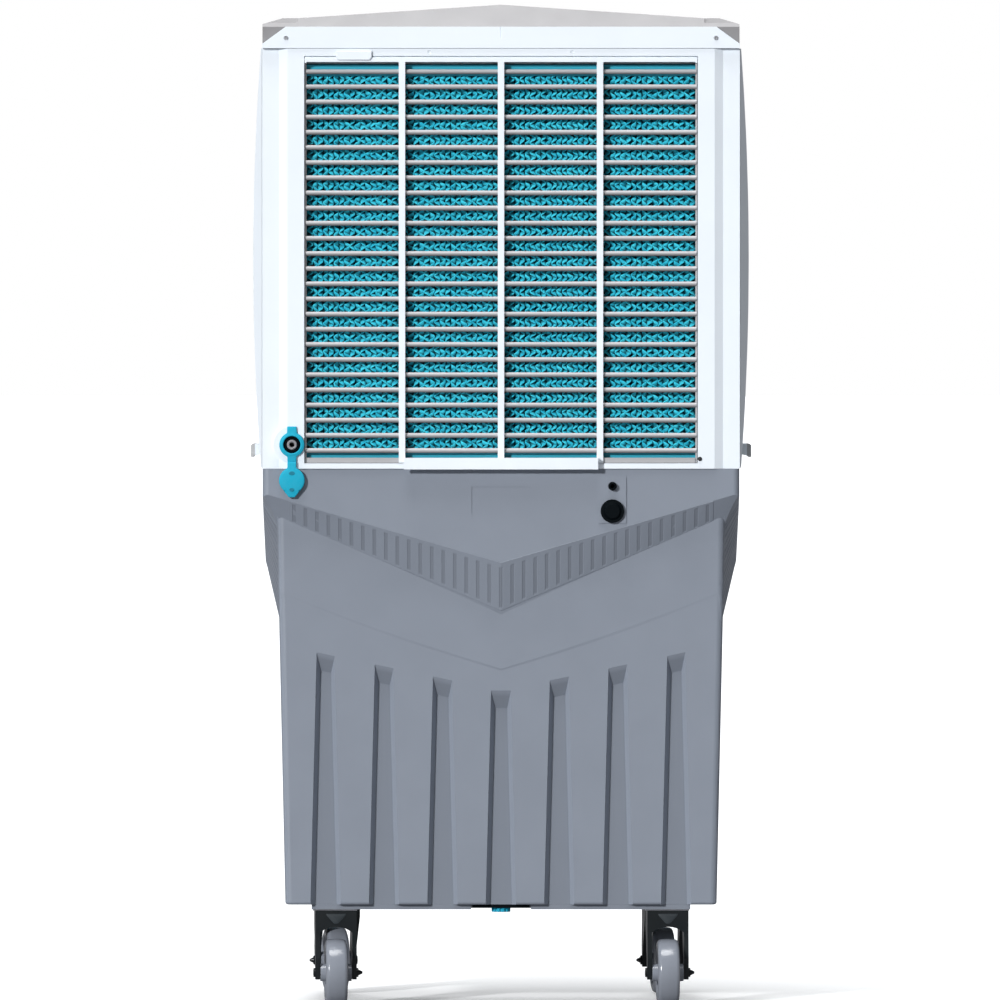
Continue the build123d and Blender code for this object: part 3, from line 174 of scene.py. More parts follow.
def fluted_with_painted_shade(name, colour, painted_floor_shade, painted_wall_light):
    """The tank's plastic, with painted shade on the floors of its flutes and painted light on their walls.
    How deep a place lies is measured from the lower zone's drafted faces, in the object's own coordinates."""
    mat, tree, shader = shader_tree(name)
    place = add(tree, "ShaderNodeTexCoord")
    at = add(tree, "ShaderNodeSeparateXYZ")
    way = add(tree, "ShaderNodeSeparateXYZ")
    tree.links.new(place.outputs["Object"], at.inputs["Vector"])
    tree.links.new(place.outputs["Normal"], way.inputs["Vector"])
    rise = maths(tree, "MULTIPLY", maths(tree, "SUBTRACT", at.outputs["Z"], LOWER_Z * MM), LOWER_DRAFT)
    depths, ways = [], []
    for axis, half in (("X", LOWER_HALF), ("Y", LOWER_HALF - DEPTH_LESS)):
        out = maths(tree, "ABSOLUTE", at.outputs[axis])
        depths.append(maths(tree, "SUBTRACT", maths(tree, "ADD", rise, half * MM), out))
        ways.append(maths(tree, "ABSOLUTE", way.outputs[axis]))
    depth = maths(tree, "MINIMUM", *depths)
    on_end = maths(tree, "LESS_THAN", depths[1], depths[0])
    turned_end = maths(tree, "MULTIPLY", on_end, maths(tree, "SUBTRACT", ways[1], ways[0]))
    outward = maths(tree, "ADD", ways[0], turned_end)
    sideways = maths(tree, "SUBTRACT", maths(tree, "ADD", ways[0], ways[1]), outward)
    deep = between(tree, depth, 0.0, 1.0, 1.5 * MM, 4 * MM)
    below_face = between(tree, depth, 0.0, 1.0, 0.2 * MM, 0.8 * MM)
    on_floor = maths(tree, "MULTIPLY", deep, between(tree, outward, 0.0, 1.0, 0.7, 0.9))
    on_wall = maths(tree, "MULTIPLY", below_face, between(tree, sideways, 0.0, 1.0, 0.5, 0.75))
    # painted shade darkens the flutes' floors, and painted light brightens their walls
    colours = blend_colours(tree, on_floor, mottled(tree, colour, TANK_MOTTLE), scaled(colour, painted_floor_shade))
    colours = blend_colours(tree, on_wall, colours, scaled(colour, painted_wall_light))
    tree.links.new(colours, shader.inputs["Base Color"])
    moulded_surface(tree, shader, TANK_ROUGH)
    return mat


def metal(name, colour, rough=(0.28, 0.42), stretch=(1, 1, 1), depth=0.00004):
    """Sheet or drawn metal with rolling marks along one direction."""
    mat, tree, shader = shader_tree(name)
    shader.inputs["Metallic"].default_value = 1.0
    streaks = noise(tree, 420.0, 3.0, stretch)
    tone = between(tree, noise(tree, 30.0, 4.0), 0.0, 1.0)
    colours = blend_colours(tree, tone, scaled(colour, 0.86), colour)
    tree.links.new(colours, shader.inputs["Base Color"])
    tree.links.new(between(tree, streaks, *rough), shader.inputs["Roughness"])
    bumps(tree, shader, streaks, depth, 0.4)
    return mat


def rubber(name, colour):
    """Soft matt rubber: dusty bloom over a fine matt skin."""
    mat, tree, shader = shader_tree(name)
    bloom = between(tree, noise(tree, 160.0, 6.0), 0.0, 1.0, 0.35, 0.75)
    colours = blend_colours(tree, bloom, colour, tuple(0.97 * c + 0.012 for c in colour))
    tree.links.new(colours, shader.inputs["Base Color"])
    tree.links.new(between(tree, noise(tree, 90.0, 3.0), 0.55, 0.72), shader.inputs["Roughness"])
    shader.inputs["Specular IOR Level"].default_value = 0.15
    bumps(tree, shader, noise(tree, 2200.0, 2.0), 0.00008, 0.5)
    return mat


def pad_paper(name, colour, shade):
    """Dyed cellulose paper: mottled dye, painted shade that darkens it into the channels and crevices,
    fibrous and matt.
    """
    mat, tree, shader = shader_tree(name)
    dye = between(tree, noise(tree, 120.0, 6.0), 0.0, 1.0, 0.35, 0.65)
    mottled = blend_colours(tree, dye, shade, colour)
    inward = add(tree, "ShaderNodeAttribute", attribute_name="inward")
    # painted shade: darker the deeper a point lies in the pad's channels
    painted_depth_shade = between(tree, inward.outputs["Fac"], 0.0, 1.0, 0.035, 0.26)
    deep = scaled(shade, 0.03)
    # painted shade: darker still in crevices, where the ambient occlusion is low
    crevice = add(tree, "ShaderNodeAmbientOcclusion", samples=6)
    crevice.inputs["Distance"].default_value = 0.016
    shut = between(tree, crevice.outputs["AO"], 1.0, 0.0, 0.08, 0.52)
    painted_crevice_shade = blend_colours(tree, shut, mottled, deep)
    tree.links.new(blend_colours(tree, painted_depth_shade, painted_crevice_shade, deep), shader.inputs["Base Color"])
    tree.links.new(between(tree, noise(tree, 700.0, 3.0), 0.7, 0.95), shader.inputs["Roughness"])
    shader.inputs["Specular IOR Level"].default_value = 0.2
    bumps(tree, shader, noise(tree, 1500.0, 4.0), 0.0002, 0.6)
    return mat


def clear(name, colour, rough=(0.04, 0.12), alpha=0.35):
    """Thin clear or cloudy plastic with faint scuffs."""
    mat, tree, shader = shader_tree(name)
    tone = between(tree, noise(tree, 60.0, 4.0), 0.0, 1.0)
    tree.links.new(blend_colours(tree, tone, scaled(colour, 0.9), colour), shader.inputs["Base Color"])
    tree.links.new(between(tree, noise(tree, 200.0, 5.0), *rough), shader.inputs["Roughness"])
    shader.inputs["Alpha"].default_value = alpha
    return mat


def painted_light_and_shade_by_facing(tree, under, over):
    """Painted light and shade: a colour that runs from a shaded one on faces turned down to a lit one on
    faces turned up.
    """
    place = add(tree, "ShaderNodeTexCoord")
    parts = add(tree, "ShaderNodeSeparateXYZ")
    tree.links.new(place.outputs["Normal"], parts.inputs["Vector"])
    return blend_colours(tree, between(tree, parts.outputs["Z"], 0.0, 1.0, -0.75, 0.75), under, over)


SPLIT_BLUR = 0.2 * MM


def split_moulded(name, colour_low, colour_high, axis, level, under=None):
    """Moulded plastic in two tones, which change at a level along one of the object's own axes.
    An under colour paints shade over the lower of the two on faces turned down."""
    mat, tree, shader = shader_tree(name)
    # painted shade: the lower colour darkens on faces turned down
    if under:
        colour_low = painted_light_and_shade_by_facing(tree, under, colour_low)
    place = add(tree, "ShaderNodeTexCoord")
    split = add(tree, "ShaderNodeSeparateXYZ")
    tree.links.new(place.outputs["Object"], split.inputs["Vector"])
    out = between(tree, split.outputs[axis], 0.0, 1.0, level - SPLIT_BLUR, level + SPLIT_BLUR)
    tone = between(tree, noise(tree, CLOUD, 5.0), 0.97, 1.03)
    colours = blend_colours(tree, out, colour_low, colour_high)
    varied = add(tree, "ShaderNodeMix", data_type="RGBA", blend_type="MULTIPLY")
    varied.inputs[0].default_value = 1.0
    tree.links.new(colours, varied.inputs[6])
    tree.links.new(tone, varied.inputs[7])
    tree.links.new(varied.outputs[2], shader.inputs["Base Color"])
    moulded_surface(tree, shader, (0.4, 0.52), wavy=False)
    return mat


# the tank's lower zone: half width at a height, how it grows upwards, and how much less its depth is
LOWER_HALF = 309.0
LOWER_Z = 433.0
LOWER_DRAFT = 0.0214
DEPTH_LESS = 99.0
# base colours
WHITE = (0.80, 0.86, 0.92)
GREY = (0.222, 0.250, 0.300)
LID = (0.37, 0.365, 0.375)
# grey painted on the side grips' lips as the shade they sit in
LIP_PAINTED_SHADE = (0.45, 0.455, 0.465)
# the slats' faces: a painted lit tone on faces turned up and painted shade on faces turned down
SLAT_PAINTED_LIT = (0.60, 0.60, 0.615)
SLAT_PAINTED_SHADE = (0.19, 0.19, 0.197)
TEAL = (0.010, 0.375, 0.545)

MATERIALS = {
    # the tank's flutes carry painted shade on their floors and painted light on their walls
    "tank_plastic": fluted_with_painted_shade("grey_tank_painted_flute_shade", GREY, 0.83, 1.2),
    "white_plastic": moulded("white_body", WHITE, (0.36, 0.46), mottle=0.012),
    "lid_plastic": moulded("grey_lid", LID, (0.42, 0.52), mottle=0.02),
    "dark_plastic": moulded("charcoal", (0.022, 0.024, 0.028), (0.42, 0.55)),
    "black_plastic": moulded("black", (0.0022, 0.0040, 0.0055), (0.5, 0.65), specular=0.04),
    "cooling_pad": pad_paper("pad_paper", (0.07, 0.80, 1.0), (0.022, 0.54, 0.76)),
    "teal_rubber": rubber("teal_rubber", TEAL),
    "grey_fitting": moulded("grey_fitting", (0.16, 0.16, 0.17), (0.4, 0.5)),
    "clear_hose": clear("cloudy_hose", (0.5, 0.55, 0.57), (0.25, 0.4), 0.85),
    "clear_plastic": clear("clear_window", (0.75, 0.85, 0.88), alpha=0.4),
    "steel": metal("zinc_steel", (0.56, 0.57, 0.60), stretch=(1, 1, 12)),
    "motor_paint": moulded("motor_paint", (0.045, 0.048, 0.055), (0.3, 0.42), 900.0, 0.0001),
    "louvre_plastic": moulded("louvre_grey", (0.20, 0.22, 0.26), (0.38, 0.5)),
    "fan_plastic": moulded("fan_dark", (0.035, 0.04, 0.05), (0.35, 0.48)),
    "float_plastic": moulded("float_orange", (0.72, 0.13, 0.02), (0.3, 0.4)),
    "knob_plastic": moulded("knob_silver", (0.48, 0.50, 0.53), (0.22, 0.3)),
    "fork_plastic": moulded("fork_black", (0.006, 0.009, 0.011), (0.3, 0.42), specular=0.35),
    # lighter than the forks' black: a painted highlight on the hoods' pressed ridges
    "hood_painted_highlight": moulded("hood_painted_highlight", (0.030, 0.038, 0.044), (0.4, 0.55)),
    # painted shade in the band's grooves
    "band_skin": grooved("grey_band_painted_groove_shade", GREY, 0.80),
    "teal_dark": rubber("teal_shade", (0.010, 0.20, 0.29)),
    "nut_grey": moulded("nut_grey", (0.30, 0.30, 0.32), (0.35, 0.5)),
    "print_white": moulded("print_white", (0.62, 0.64, 0.66), (0.5, 0.6)),
    "print_dark": moulded("print_dark", (0.03, 0.035, 0.045), (0.5, 0.6)),
    "wheel_plastic": moulded("wheel_grey", (0.225, 0.245, 0.285), (0.16, 0.24), specular=0.5),
    "pad_channel": moulded("teal_channel", (0.02, 0.38, 0.52), (0.4, 0.55)),
}


# ---------------------------------------------------------------- the CAD nodes' finish
WELD = 0.01 * MM
COPLANAR = 0.5
NODE_EDGE_ANGLE = 30.0
PIECE_EDGE_ANGLE = 35.0
USUAL_EDGE = 0.4 * MM


def rounded(obj, width, angle):
    """A two-step bevel on the edges that turn by more than an angle."""
    edge = obj.modifiers.new("edge", "BEVEL")
    edge.width = width
    edge.segments = 2
    edge.limit_method = "ANGLE"
    edge.angle_limit = math.radians(angle)
    return edge


def finish_node(name, mat, bevel):
    """Edges rounded as a mould leaves them, and a material; the CAD mesh itself stays."""
    obj = NODES[name]
    obj.data.materials.clear()
    obj.data.materials.append(mat)
    weld = obj.modifiers.new("weld", "WELD")
    weld.merge_threshold = WELD
    flat = obj.modifiers.new("flat", "DECIMATE")
    flat.decimate_type = "DISSOLVE"
    flat.angle_limit = math.radians(COPLANAR)
    edge = rounded(obj, bevel, NODE_EDGE_ANGLE)
    edge.harden_normals = True
    edge.use_clamp_overlap = True
    obj.modifiers.new("weighted", "WEIGHTED_NORMAL").keep_sharp = True


EDGES = {
    "tank": 1.6 * MM, "rear_frame": 0.9 * MM, "front_panel": 0.9 * MM, "left_side_frame": 1.0 * MM,
    "right_side_frame": 1.0 * MM, "rear_fascia": 1.2 * MM, "top_cover": 1.6 * MM, "rear_grille": 0.5 * MM,
    "left_grille": 0.5 * MM, "right_grille": 0.5 * MM, "base_frame": 0.8 * MM, "control_panel": 0.8 * MM,
    "cover_screws": 0.15 * MM, "inlet_collar": 0.5 * MM, "inlet_cap": 0.5 * MM, "fan_rotor": 0.5 * MM,
    "caster_plates": 0.3 * MM, "cord_gland": 0.3 * MM, "overflow_bung": 0.6 * MM,
}


# where a node's colour changes: the slats' faces, which carry painted light and shade; the side grips' lips,
# painted grey for shade; and the top of the lid's rim, below which the lid is darker
SLAT_FACE_Y = 0.2351
SIDE_GRIP_X = 0.3478
LID_RIM_Z = 1.3752
LID_RIM = 0.66


def finish_nodes():
    """Gives every CAD node its slot's material, or its own split one: painted light and shade on the rear
    grille's slats, painted shade on the side grips' lips, a darker lid below the top of its rim.
    """
    slots = {s["node"]: s["material_slot"] for s in frame["record"]["subparts"]}
    split_colour = {
        # the slats' faces get painted light on top and painted shade beneath
        "rear_grille": split_moulded(
            "rear_grille_painted_slat_light_and_shade", SLAT_PAINTED_LIT, WHITE, "Y", SLAT_FACE_Y, under=SLAT_PAINTED_SHADE),
        # the side grips' lips are painted grey as shade
        "left_grille": split_moulded("left_grille_painted_lip_shade", WHITE, LIP_PAINTED_SHADE, "X", SIDE_GRIP_X),
        "right_grille": split_moulded("right_grille_painted_lip_shade", LIP_PAINTED_SHADE, WHITE, "X", -SIDE_GRIP_X),
        # the lid is darker below the top of its rim
        "top_cover": split_moulded("lid_darker_rim", scaled(LID, LID_RIM), LID, "Z", LID_RIM_Z),
    }
    for name, slot in slots.items():
        mat = split_colour.get(name, MATERIALS[slot])
        finish_node(name, mat, EDGES.get(name, USUAL_EDGE))


# ---------------------------------------------------------------- mesh helpers
def turned(obj, turn):
    """Turns a mesh round the upright axis, from facing the rear to facing another side."""
    obj.data.transform(Matrix.Rotation(math.radians(turn), 4, "Z"))


def mesh_piece(name, vertices, faces, slot, body, mat=None, smooth=False, replaces=()):
    """A new piece with its slot's material, or the one given; one with no body yet is turned or placed before
    it rides.
    """
    mesh = bpy.data.meshes.new(name)
    mesh.from_pydata([tuple(v) for v in vertices], [], faces)
    mesh.validate()
    mesh.polygons.foreach_set("use_smooth", [smooth] * len(mesh.polygons))
    obj = bpy.data.objects.new(name, mesh)
    bpy.context.scene.collection.objects.link(obj)
    mesh.materials.append(mat or MATERIALS[slot])
    if body:
        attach(obj, body)
    if replaces:
        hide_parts(*replaces)
    return obj


def soften(obj, width):
    rounded(obj, width, PIECE_EDGE_ANGLE).harden_normals = False
    obj.modifiers.new("weighted", "WEIGHTED_NORMAL")


class Shape:
    """Vertices and faces gathered from several forms, for one mesh."""

    def __init__(self):
        self.vertices = []
        self.faces = []

    def grid(self, rows, closed_rows=False, closed_columns=False):
        """Quads between rows of points, each row as long as the others."""
        start = len(self.vertices)
        count = len(rows[0])
        for row in rows:
            self.vertices.extend(row)
        for i in range(len(rows) if closed_rows else len(rows) - 1):
            a = start + i * count
            b = start + (i + 1) % len(rows) * count
            for j in range(count if closed_columns else count - 1):
                k = (j + 1) % count
                self.faces.append((a + j, a + k, b + k, b + j))
        return start

    def cap(self, start, count, flip=False):
        ring = list(range(start, start + count))
        self.faces.append(ring[::-1] if flip else ring)

    def lathe(self, profile, origin, axis, steps=32):
        """Turns (radius, height) points round an axis through the origin."""
        turn = Vector(axis).to_track_quat("Z", "Y").to_matrix()
        rows = []
        for k in range(steps):
            a = 2 * math.pi * k / steps
            spin = Vector((math.cos(a), math.sin(a), 0))
            rows.append([Vector(origin) + turn @ (spin * r + Vector((0, 0, h))) for r, h in profile])
        self.grid(rows, closed_rows=True)

    def bar(self, section, start, end):
        """A closed section of (a, b) points, as offsets in the plane across the straight run."""
        first = [Vector(start) + Vector(p) for p in section]
        last = [Vector(end) + Vector(p) for p in section]
        at = self.grid([first, last], closed_columns=True)
        self.cap(at, len(section))
        self.cap(at + len(section), len(section), True)


# ---------------------------------------------------------------- cooling pads
FLUTE_WAVE = 13.0 * MM
FLUTE_GAP = 7.4 * MM
FLUTE_TURN = 42.0
FLUTE_SWELL = (0.42, 0.60)
WAVE_STEPS = 7
PAPER = 1.3 * MM
PAD_DEPTH = 0.060
TRIM = 1.0 * MM
CHANNEL_LIP = 16.0 * MM
CHANNEL_WALL = 1.2 * MM


def honeycomb(name, node, width, turn, face, seed):
    """Corrugated sheets side by side, their flutes rising and falling in turn from face to back."""
    low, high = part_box(node)
    rng = random.Random(seed)
    rise = PAD_DEPTH * math.tan(math.radians(FLUTE_TURN))
    z_low = low.z - rise
    steps = int((high.z - low.z + 2 * rise) / FLUTE_WAVE * WAVE_STEPS)
    count = int(width / FLUTE_GAP)
    shape = Shape()
    for i in range(count):
        middle = (i + 0.5) * width / count - width / 2
        phase = rng.uniform(0, 2 * math.pi)
        way = 1 if i % 2 else -1
        swell = rng.uniform(*FLUTE_SWELL) * FLUTE_GAP
        front, back = [], []
        for k in range(steps + 1):
            z = z_low + k * FLUTE_WAVE / WAVE_STEPS
            off = middle + swell * math.sin(2 * math.pi * z / FLUTE_WAVE + phase)
            front.append((off, face, z - way * rise / 2))
            back.append((off, face - PAD_DEPTH, z + way * rise / 2))
        shape.grid([front, back])
    obj = mesh_piece(name, shape.vertices, shape.faces, "cooling_pad", None, smooth=True)
    # how deep each point lies in the pad, which the paper's material darkens as painted shade
    inward = obj.data.attributes.new("inward", "FLOAT", "POINT")
    inward.data.foreach_set("value", [(face - v.co.y) / PAD_DEPTH for v in obj.data.vertices])
    trim_level(obj, low.z + TRIM, high.z - TRIM)
    turned(obj, turn)
    thick = obj.modifiers.new("paper", "SOLIDIFY")
    thick.thickness = PAPER
    thick.offset = 0.0
    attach(obj, "cooler")
    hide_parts(node)


def trim_level(obj, low, high):
    """Cuts a mesh off level at two heights."""
    work = bmesh.new()
    work.from_mesh(obj.data)
    for height, up in ((low, -1), (high, 1)):
        bmesh.ops.bisect_plane(
            work, geom=work.verts[:] + work.edges[:] + work.faces[:], plane_co=(0, 0, height),
            plane_no=(0, 0, up), clear_outer=True,
        )
    work.to_mesh(obj.data)
    work.free()


def pad_channel(name, node, width, turn, face):
    """Plain channels over a pad's upper and lower edges."""
    low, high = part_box(node)
    shape = Shape()
    for level, way in ((high.z + 0.5 * MM, -1), (low.z - 0.5 * MM, 1)):
        inner = level + way * CHANNEL_WALL
        edge = level + way * CHANNEL_LIP
        out, back = face + CHANNEL_WALL, face - PAD_DEPTH - CHANNEL_WALL
        section = [
            (0, out, level), (0, out, edge), (0, face, edge), (0, face, inner),
            (0, back + CHANNEL_WALL, inner), (0, back + CHANNEL_WALL, edge),
            (0, back, edge), (0, back, level),
        ]
        shape.bar(section, (-width / 2, 0, 0), (width / 2, 0, 0))
    obj = mesh_piece(name, shape.vertices, shape.faces, "cooling_pad", None, MATERIALS["pad_channel"])
    turned(obj, turn)
    soften(obj, 0.3 * MM)
    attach(obj, "cooler")


def make_pads():
    rear_low, rear_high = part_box("rear_pad")
    width = rear_high.x - rear_low.x
    face = rear_high.y + 5.4 * MM
    honeycomb("rear_pad_sheets", "rear_pad", width, 0, face, 11)
    pad_channel("rear_pad_channels", "rear_pad", width, 0, face - 0.4 * MM)
    for name, turn, seed in (("left", -90, 23), ("right", 90, 37)):
        low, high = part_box(f"{name}_pad")
        face = max(abs(low.x), abs(high.x)) + 1.5 * MM
        honeycomb(f"{name}_pad_sheets", f"{name}_pad", high.y - low.y, turn, face, seed)
        pad_channel(f"{name}_pad_channels", f"{name}_pad", high.y - low.y, turn, face - 0.4 * MM)


# ---------------------------------------------------------------- the tank's ribbed bands
TANK_HALF = 334.0
TANK_DEEP = 235.0
BAND_INSET = 21.0
# edge heights: top at the middle, top at the corner, bottom at the middle, bottom at the corner
WIDE_BAND = (626.0, 722.0, 556.0, 698.0)
SIDE_BAND = (626.0, 722.0, 535.0, 698.0)
RIB_PITCH = 16.1
GROOVE_HALF = 2.9
GROOVE_WALL = 0.9
GROOVE_ENDS = (0.10, 0.95)
SKIN = 0.5


def band_point(u, share, proud, half, deep, band):
    """A point on the sloping band or proud of it; share runs from its top edge to its lower."""
    mid_top, end_top, mid_low, end_low = band
    way = abs(u) / half
    top = mid_top + (end_top - mid_top) * way
    low = mid_low + (end_low - mid_low) * way
    slope = math.hypot(top - low, BAND_INSET)
    y = deep - BAND_INSET * share + proud * (top - low) / slope
    z = top + (low - top) * share - proud * BAND_INSET / slope
    return Vector((u, y, z)) * MM


def groove_share(u, share):
    """How far a place on the band lies in a groove: 0 on the face between, 1 on a groove's floor."""
    off = abs((u + RIB_PITCH / 2) % RIB_PITCH - RIB_PITCH / 2)
    across = min(max((GROOVE_HALF - off) / GROOVE_WALL, 0.0), 1.0)
    high, low = GROOVE_ENDS
    along = min(max(min(share - high, low - share) / 0.04, 0.0), 1.0)
    return across * along


def make_bands():
    """A thin grooved skin over each face's sloping band, with painted shade in its grooves."""
    shares = (0.0, 0.02, 0.10, 0.14, 0.5, 0.91, 0.95, 0.98, 1.0)
    offsets = (-GROOVE_HALF, GROOVE_WALL - GROOVE_HALF, 0.0, GROOVE_HALF - GROOVE_WALL, GROOVE_HALF)
    for name, turn, half, deep, band, count in (
        ("rear", 0, TANK_HALF, TANK_DEEP, WIDE_BAND, 18),
        ("front", 180, TANK_HALF, TANK_DEEP, WIDE_BAND, 18),
        ("left", -90, TANK_DEEP, TANK_HALF, SIDE_BAND, 12),
        ("right", 90, TANK_DEEP, TANK_HALF, SIDE_BAND, 12),
    ):
        end = (count + 0.5) * RIB_PITCH
        places = [-end, 0.5 - end]
        places += [i * RIB_PITCH + off for i in range(-count, count + 1) for off in offsets]
        places += [end - 0.5, end]
        shape, depths = Shape(), []
        rows = []
        for share in shares:
            row = []
            for u in places:
                inside = groove_share(u, share)
                edge = share in (0.0, 1.0) or abs(u) == end
                proud = -0.2 if edge else SKIN * (1 - inside) + 0.08
                row.append(band_point(u, share, proud, half, deep, band))
                depths.append(inside)
            rows.append(row)
        shape.grid(rows)
        obj = mesh_piece(
            f"{name}_band", shape.vertices, shape.faces, "tank_plastic", None, MATERIALS["band_skin"])
        # how far each point lies in a groove, which the band's material darkens as painted shade
        obj.data.attributes.new("inward", "FLOAT", "POINT").data.foreach_set("value", depths)
        turned(obj, turn)
        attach(obj, "cooler")


# ---------------------------------------------------------------- the water inlet's rubber boot
INLET_X = 292.8
INLET_Z = 790.0
CAP_Z = 740.0
COLLAR_R = 17.6
HINGE_Z = 765.0
BOOT_BACK = 238.15
BOOT_STEPS = 160
MARK_STEPS = 28
CORE_STEPS = 48
TIP_SIDE = math.radians(50.9)


def star(angle, disc, arms, tip=0.0):
    """Outline of a disc with flared arms, as a radius at an angle; arms are (angle, half width, reach).
    A tip draws the disc out downwards to a blunt point at that distance."""
    sharp = 16.0
    total = disc ** sharp
    off = (angle % (2 * math.pi)) - math.pi
    if tip and abs(off) < TIP_SIDE:
        total = min(disc / math.cos(abs(off) - TIP_SIDE), tip / math.cos(off)) ** sharp
    for way, half, reach in arms:
        off = (angle - way + math.pi) % (2 * math.pi) - math.pi
        if abs(off) < 1.2:
            arm = min(half / max(abs(math.sin(off)), 1e-6), reach / math.cos(off))
            total += arm ** sharp
    return total ** (1 / sharp)


def boot_piece(name, body, node, centre, disc, arms, tip, hole, face, rim):
    """Soft moulding with a rounded edge round its outline, and a lip round its hole or its crown."""
    shape = Shape()
    rows = []
    for k in range(BOOT_STEPS):
        angle = 2 * math.pi * k / BOOT_STEPS
        edge = star(angle, disc, arms, tip)
        inner = hole or 0.4
        lip = inner + (2.2 if hole else disc * 0.55)
        ring = [(inner, BOOT_BACK), (inner, face - 0.9), (inner + 0.35, face - 0.25), (inner + 0.9, face)]
        if not hole:
            ring = [(inner, face)]
        ring += [(lip, face), (disc - 3.2, rim + 0.25), (disc - 1.6, rim)]
        if edge > disc + 0.4:
            ring += [(disc + (edge - disc) * 0.5, rim - 0.9)]
        else:
            ring += [(edge - 1.2, rim - 0.15)]
        ring += [(edge - 0.55, rim - 0.95 if edge > disc + 0.4 else rim - 0.4), (edge, rim - 1.5),
                 (edge, BOOT_BACK)]
        side, up = -math.sin(angle), math.cos(angle)
        rows.append([Vector((centre[0] + r * side, y, centre[1] + r * up)) * MM for r, y in ring])
    shape.grid(rows, closed_rows=True, closed_columns=bool(hole))
    if not hole:
        count = len(rows[0])
        shape.faces.append([k * count for k in range(BOOT_STEPS)])
    mesh_piece(name, shape.vertices, shape.faces, "teal_rubber", body, smooth=True, replaces=(node,))


def cap_mark(name, centre, wide, high, face):
    """A small oval dished mark on the cap."""
    shape = Shape()
    rows = []
    for share, y in ((1.0, face - 0.5), (1.0, face + 0.12), (0.8, face + 0.18), (0.35, face + 0.05)):
        rows.append([
            Vector((centre[0] + share * wide * math.cos(a), y, centre[1] + share * high * math.sin(a))) * MM
            for a in (2 * math.pi * k / MARK_STEPS for k in range(MARK_STEPS))
        ])
    at = shape.grid(rows, closed_columns=True)
    shape.cap(at + (len(rows) - 1) * MARK_STEPS, MARK_STEPS)
    mesh_piece(name, shape.vertices, shape.faces, "teal_rubber", "inlet_cap", MATERIALS["teal_dark"],
               smooth=True)


def make_inlet():
    up, down = 0.0, math.pi
    boot_piece("inlet_boot_ring", "cooler", "inlet_collar", (INLET_X, INLET_Z), COLLAR_R,
               ((up, 6.7, 25.5), (down, 6.2, INLET_Z - HINGE_Z - 0.1)), 0.0, 12.0, 243.0, 242.6)
    boot_piece("inlet_boot_cap", "inlet_cap", "inlet_cap", (INLET_X, CAP_Z), 18.0,
               ((up, 6.2, HINGE_Z - CAP_Z + 1.0),), 23.6, 0.0, 245.0, 244.2)
    cap_mark("cap_mark_upper", (INLET_X, CAP_Z + 10.0), 4.2, 2.8, 245.0)
    cap_mark("cap_mark_lower", (INLET_X, CAP_Z - 13.0), 3.4, 2.6, 244.8)
    inlet_core()


def inlet_core():
    """Black washer and six-sided grey nut inside the boot's ring."""
    at = Vector((INLET_X, 0, INLET_Z)) * MM
    washer, nut = Shape(), Shape()
    profile = ((7.3, 236.6), (11.7, 236.6), (11.7, 238.6), (9.5, 239.3), (7.3, 238.9))
    washer.lathe([(r * MM, y * MM) for r, y in profile], at, (0, 1, 0), CORE_STEPS)
    rows = []
    for k in range(CORE_STEPS):
        angle = 2 * math.pi * k / CORE_STEPS
        flat = 6.3 / math.cos((angle + math.pi / 6) % (math.pi / 3) - math.pi / 6)
        out = min(flat, 7.1)
        ring = [(4.3, 236.6), (4.3, 241.4), (4.8, 242.0), (out - 0.8, 242.0), (out, 241.2), (out, 236.6)]
        rows.append([at + Vector((r * math.cos(angle), y, r * math.sin(angle))) * MM for r, y in ring])
    nut.grid(rows, closed_rows=True, closed_columns=True)
    mesh_piece("inlet_washer", washer.vertices, washer.faces, "black_plastic", "cooler",
               MATERIALS["black_plastic"], smooth=True)
    mesh_piece("inlet_nut", nut.vertices, nut.faces, "grey_fitting", "cooler", MATERIALS["nut_grey"])


# ---------------------------------------------------------------- small marks and fittings
# the latch tab: its middle, the back of its lip, its lower and upper edges, half its width
LATCH_X = 206.0
LATCH_Y = 239.9
LATCH_LOW = 1328.5
LATCH_HIGH = 1341.0
LATCH_HALF = 25.0
LATCH_RADIUS = 5.0
KNOB_XS = (-100.0, 0.0, 100.0)
KNOB_Z = 812.0
TICK_R = 25.8
CASTER_X = 233.5
CASTER_Y = 150.0
# the pressed ridge on a caster's hood: its middle height, and its outline as seen from behind
RIDGE_Z = 124.0
RIDGE_OUTLINE = (
    (-14.0, 130.5), (14.0, 130.5), (13.0, 127.5), (3.0, 116.5), (-3.0, 116.5), (-13.0, 127.5),
)
# caster: side of X, side of Y, swivel angle at rest in degrees
CASTERS = {
    "rear_left": (1, 1, 3.0), "rear_right": (-1, 1, 2.0),
    "front_left": (1, -1, 9.0), "front_right": (-1, -1, 4.0),
}


def box_points(shape, low, high, inset):
    """A small bar with its outer face drawn in; Y is outwards from low to high."""
    x0, y0, z0 = low
    x1, y1, z1 = high
    rows = []
    for d, y in ((0.0, y0), (0.0, y0 + (y1 - y0) * 0.5), (inset, y1)):
        rows.append([Vector(p) * MM for p in (
            (x0 + d, y, z0 + d), (x1 - d, y, z0 + d), (x1 - d, y, z1 - d), (x0 + d, y, z1 - d))])
    at = shape.grid(rows, closed_columns=True)
    shape.cap(at + 8, 4)


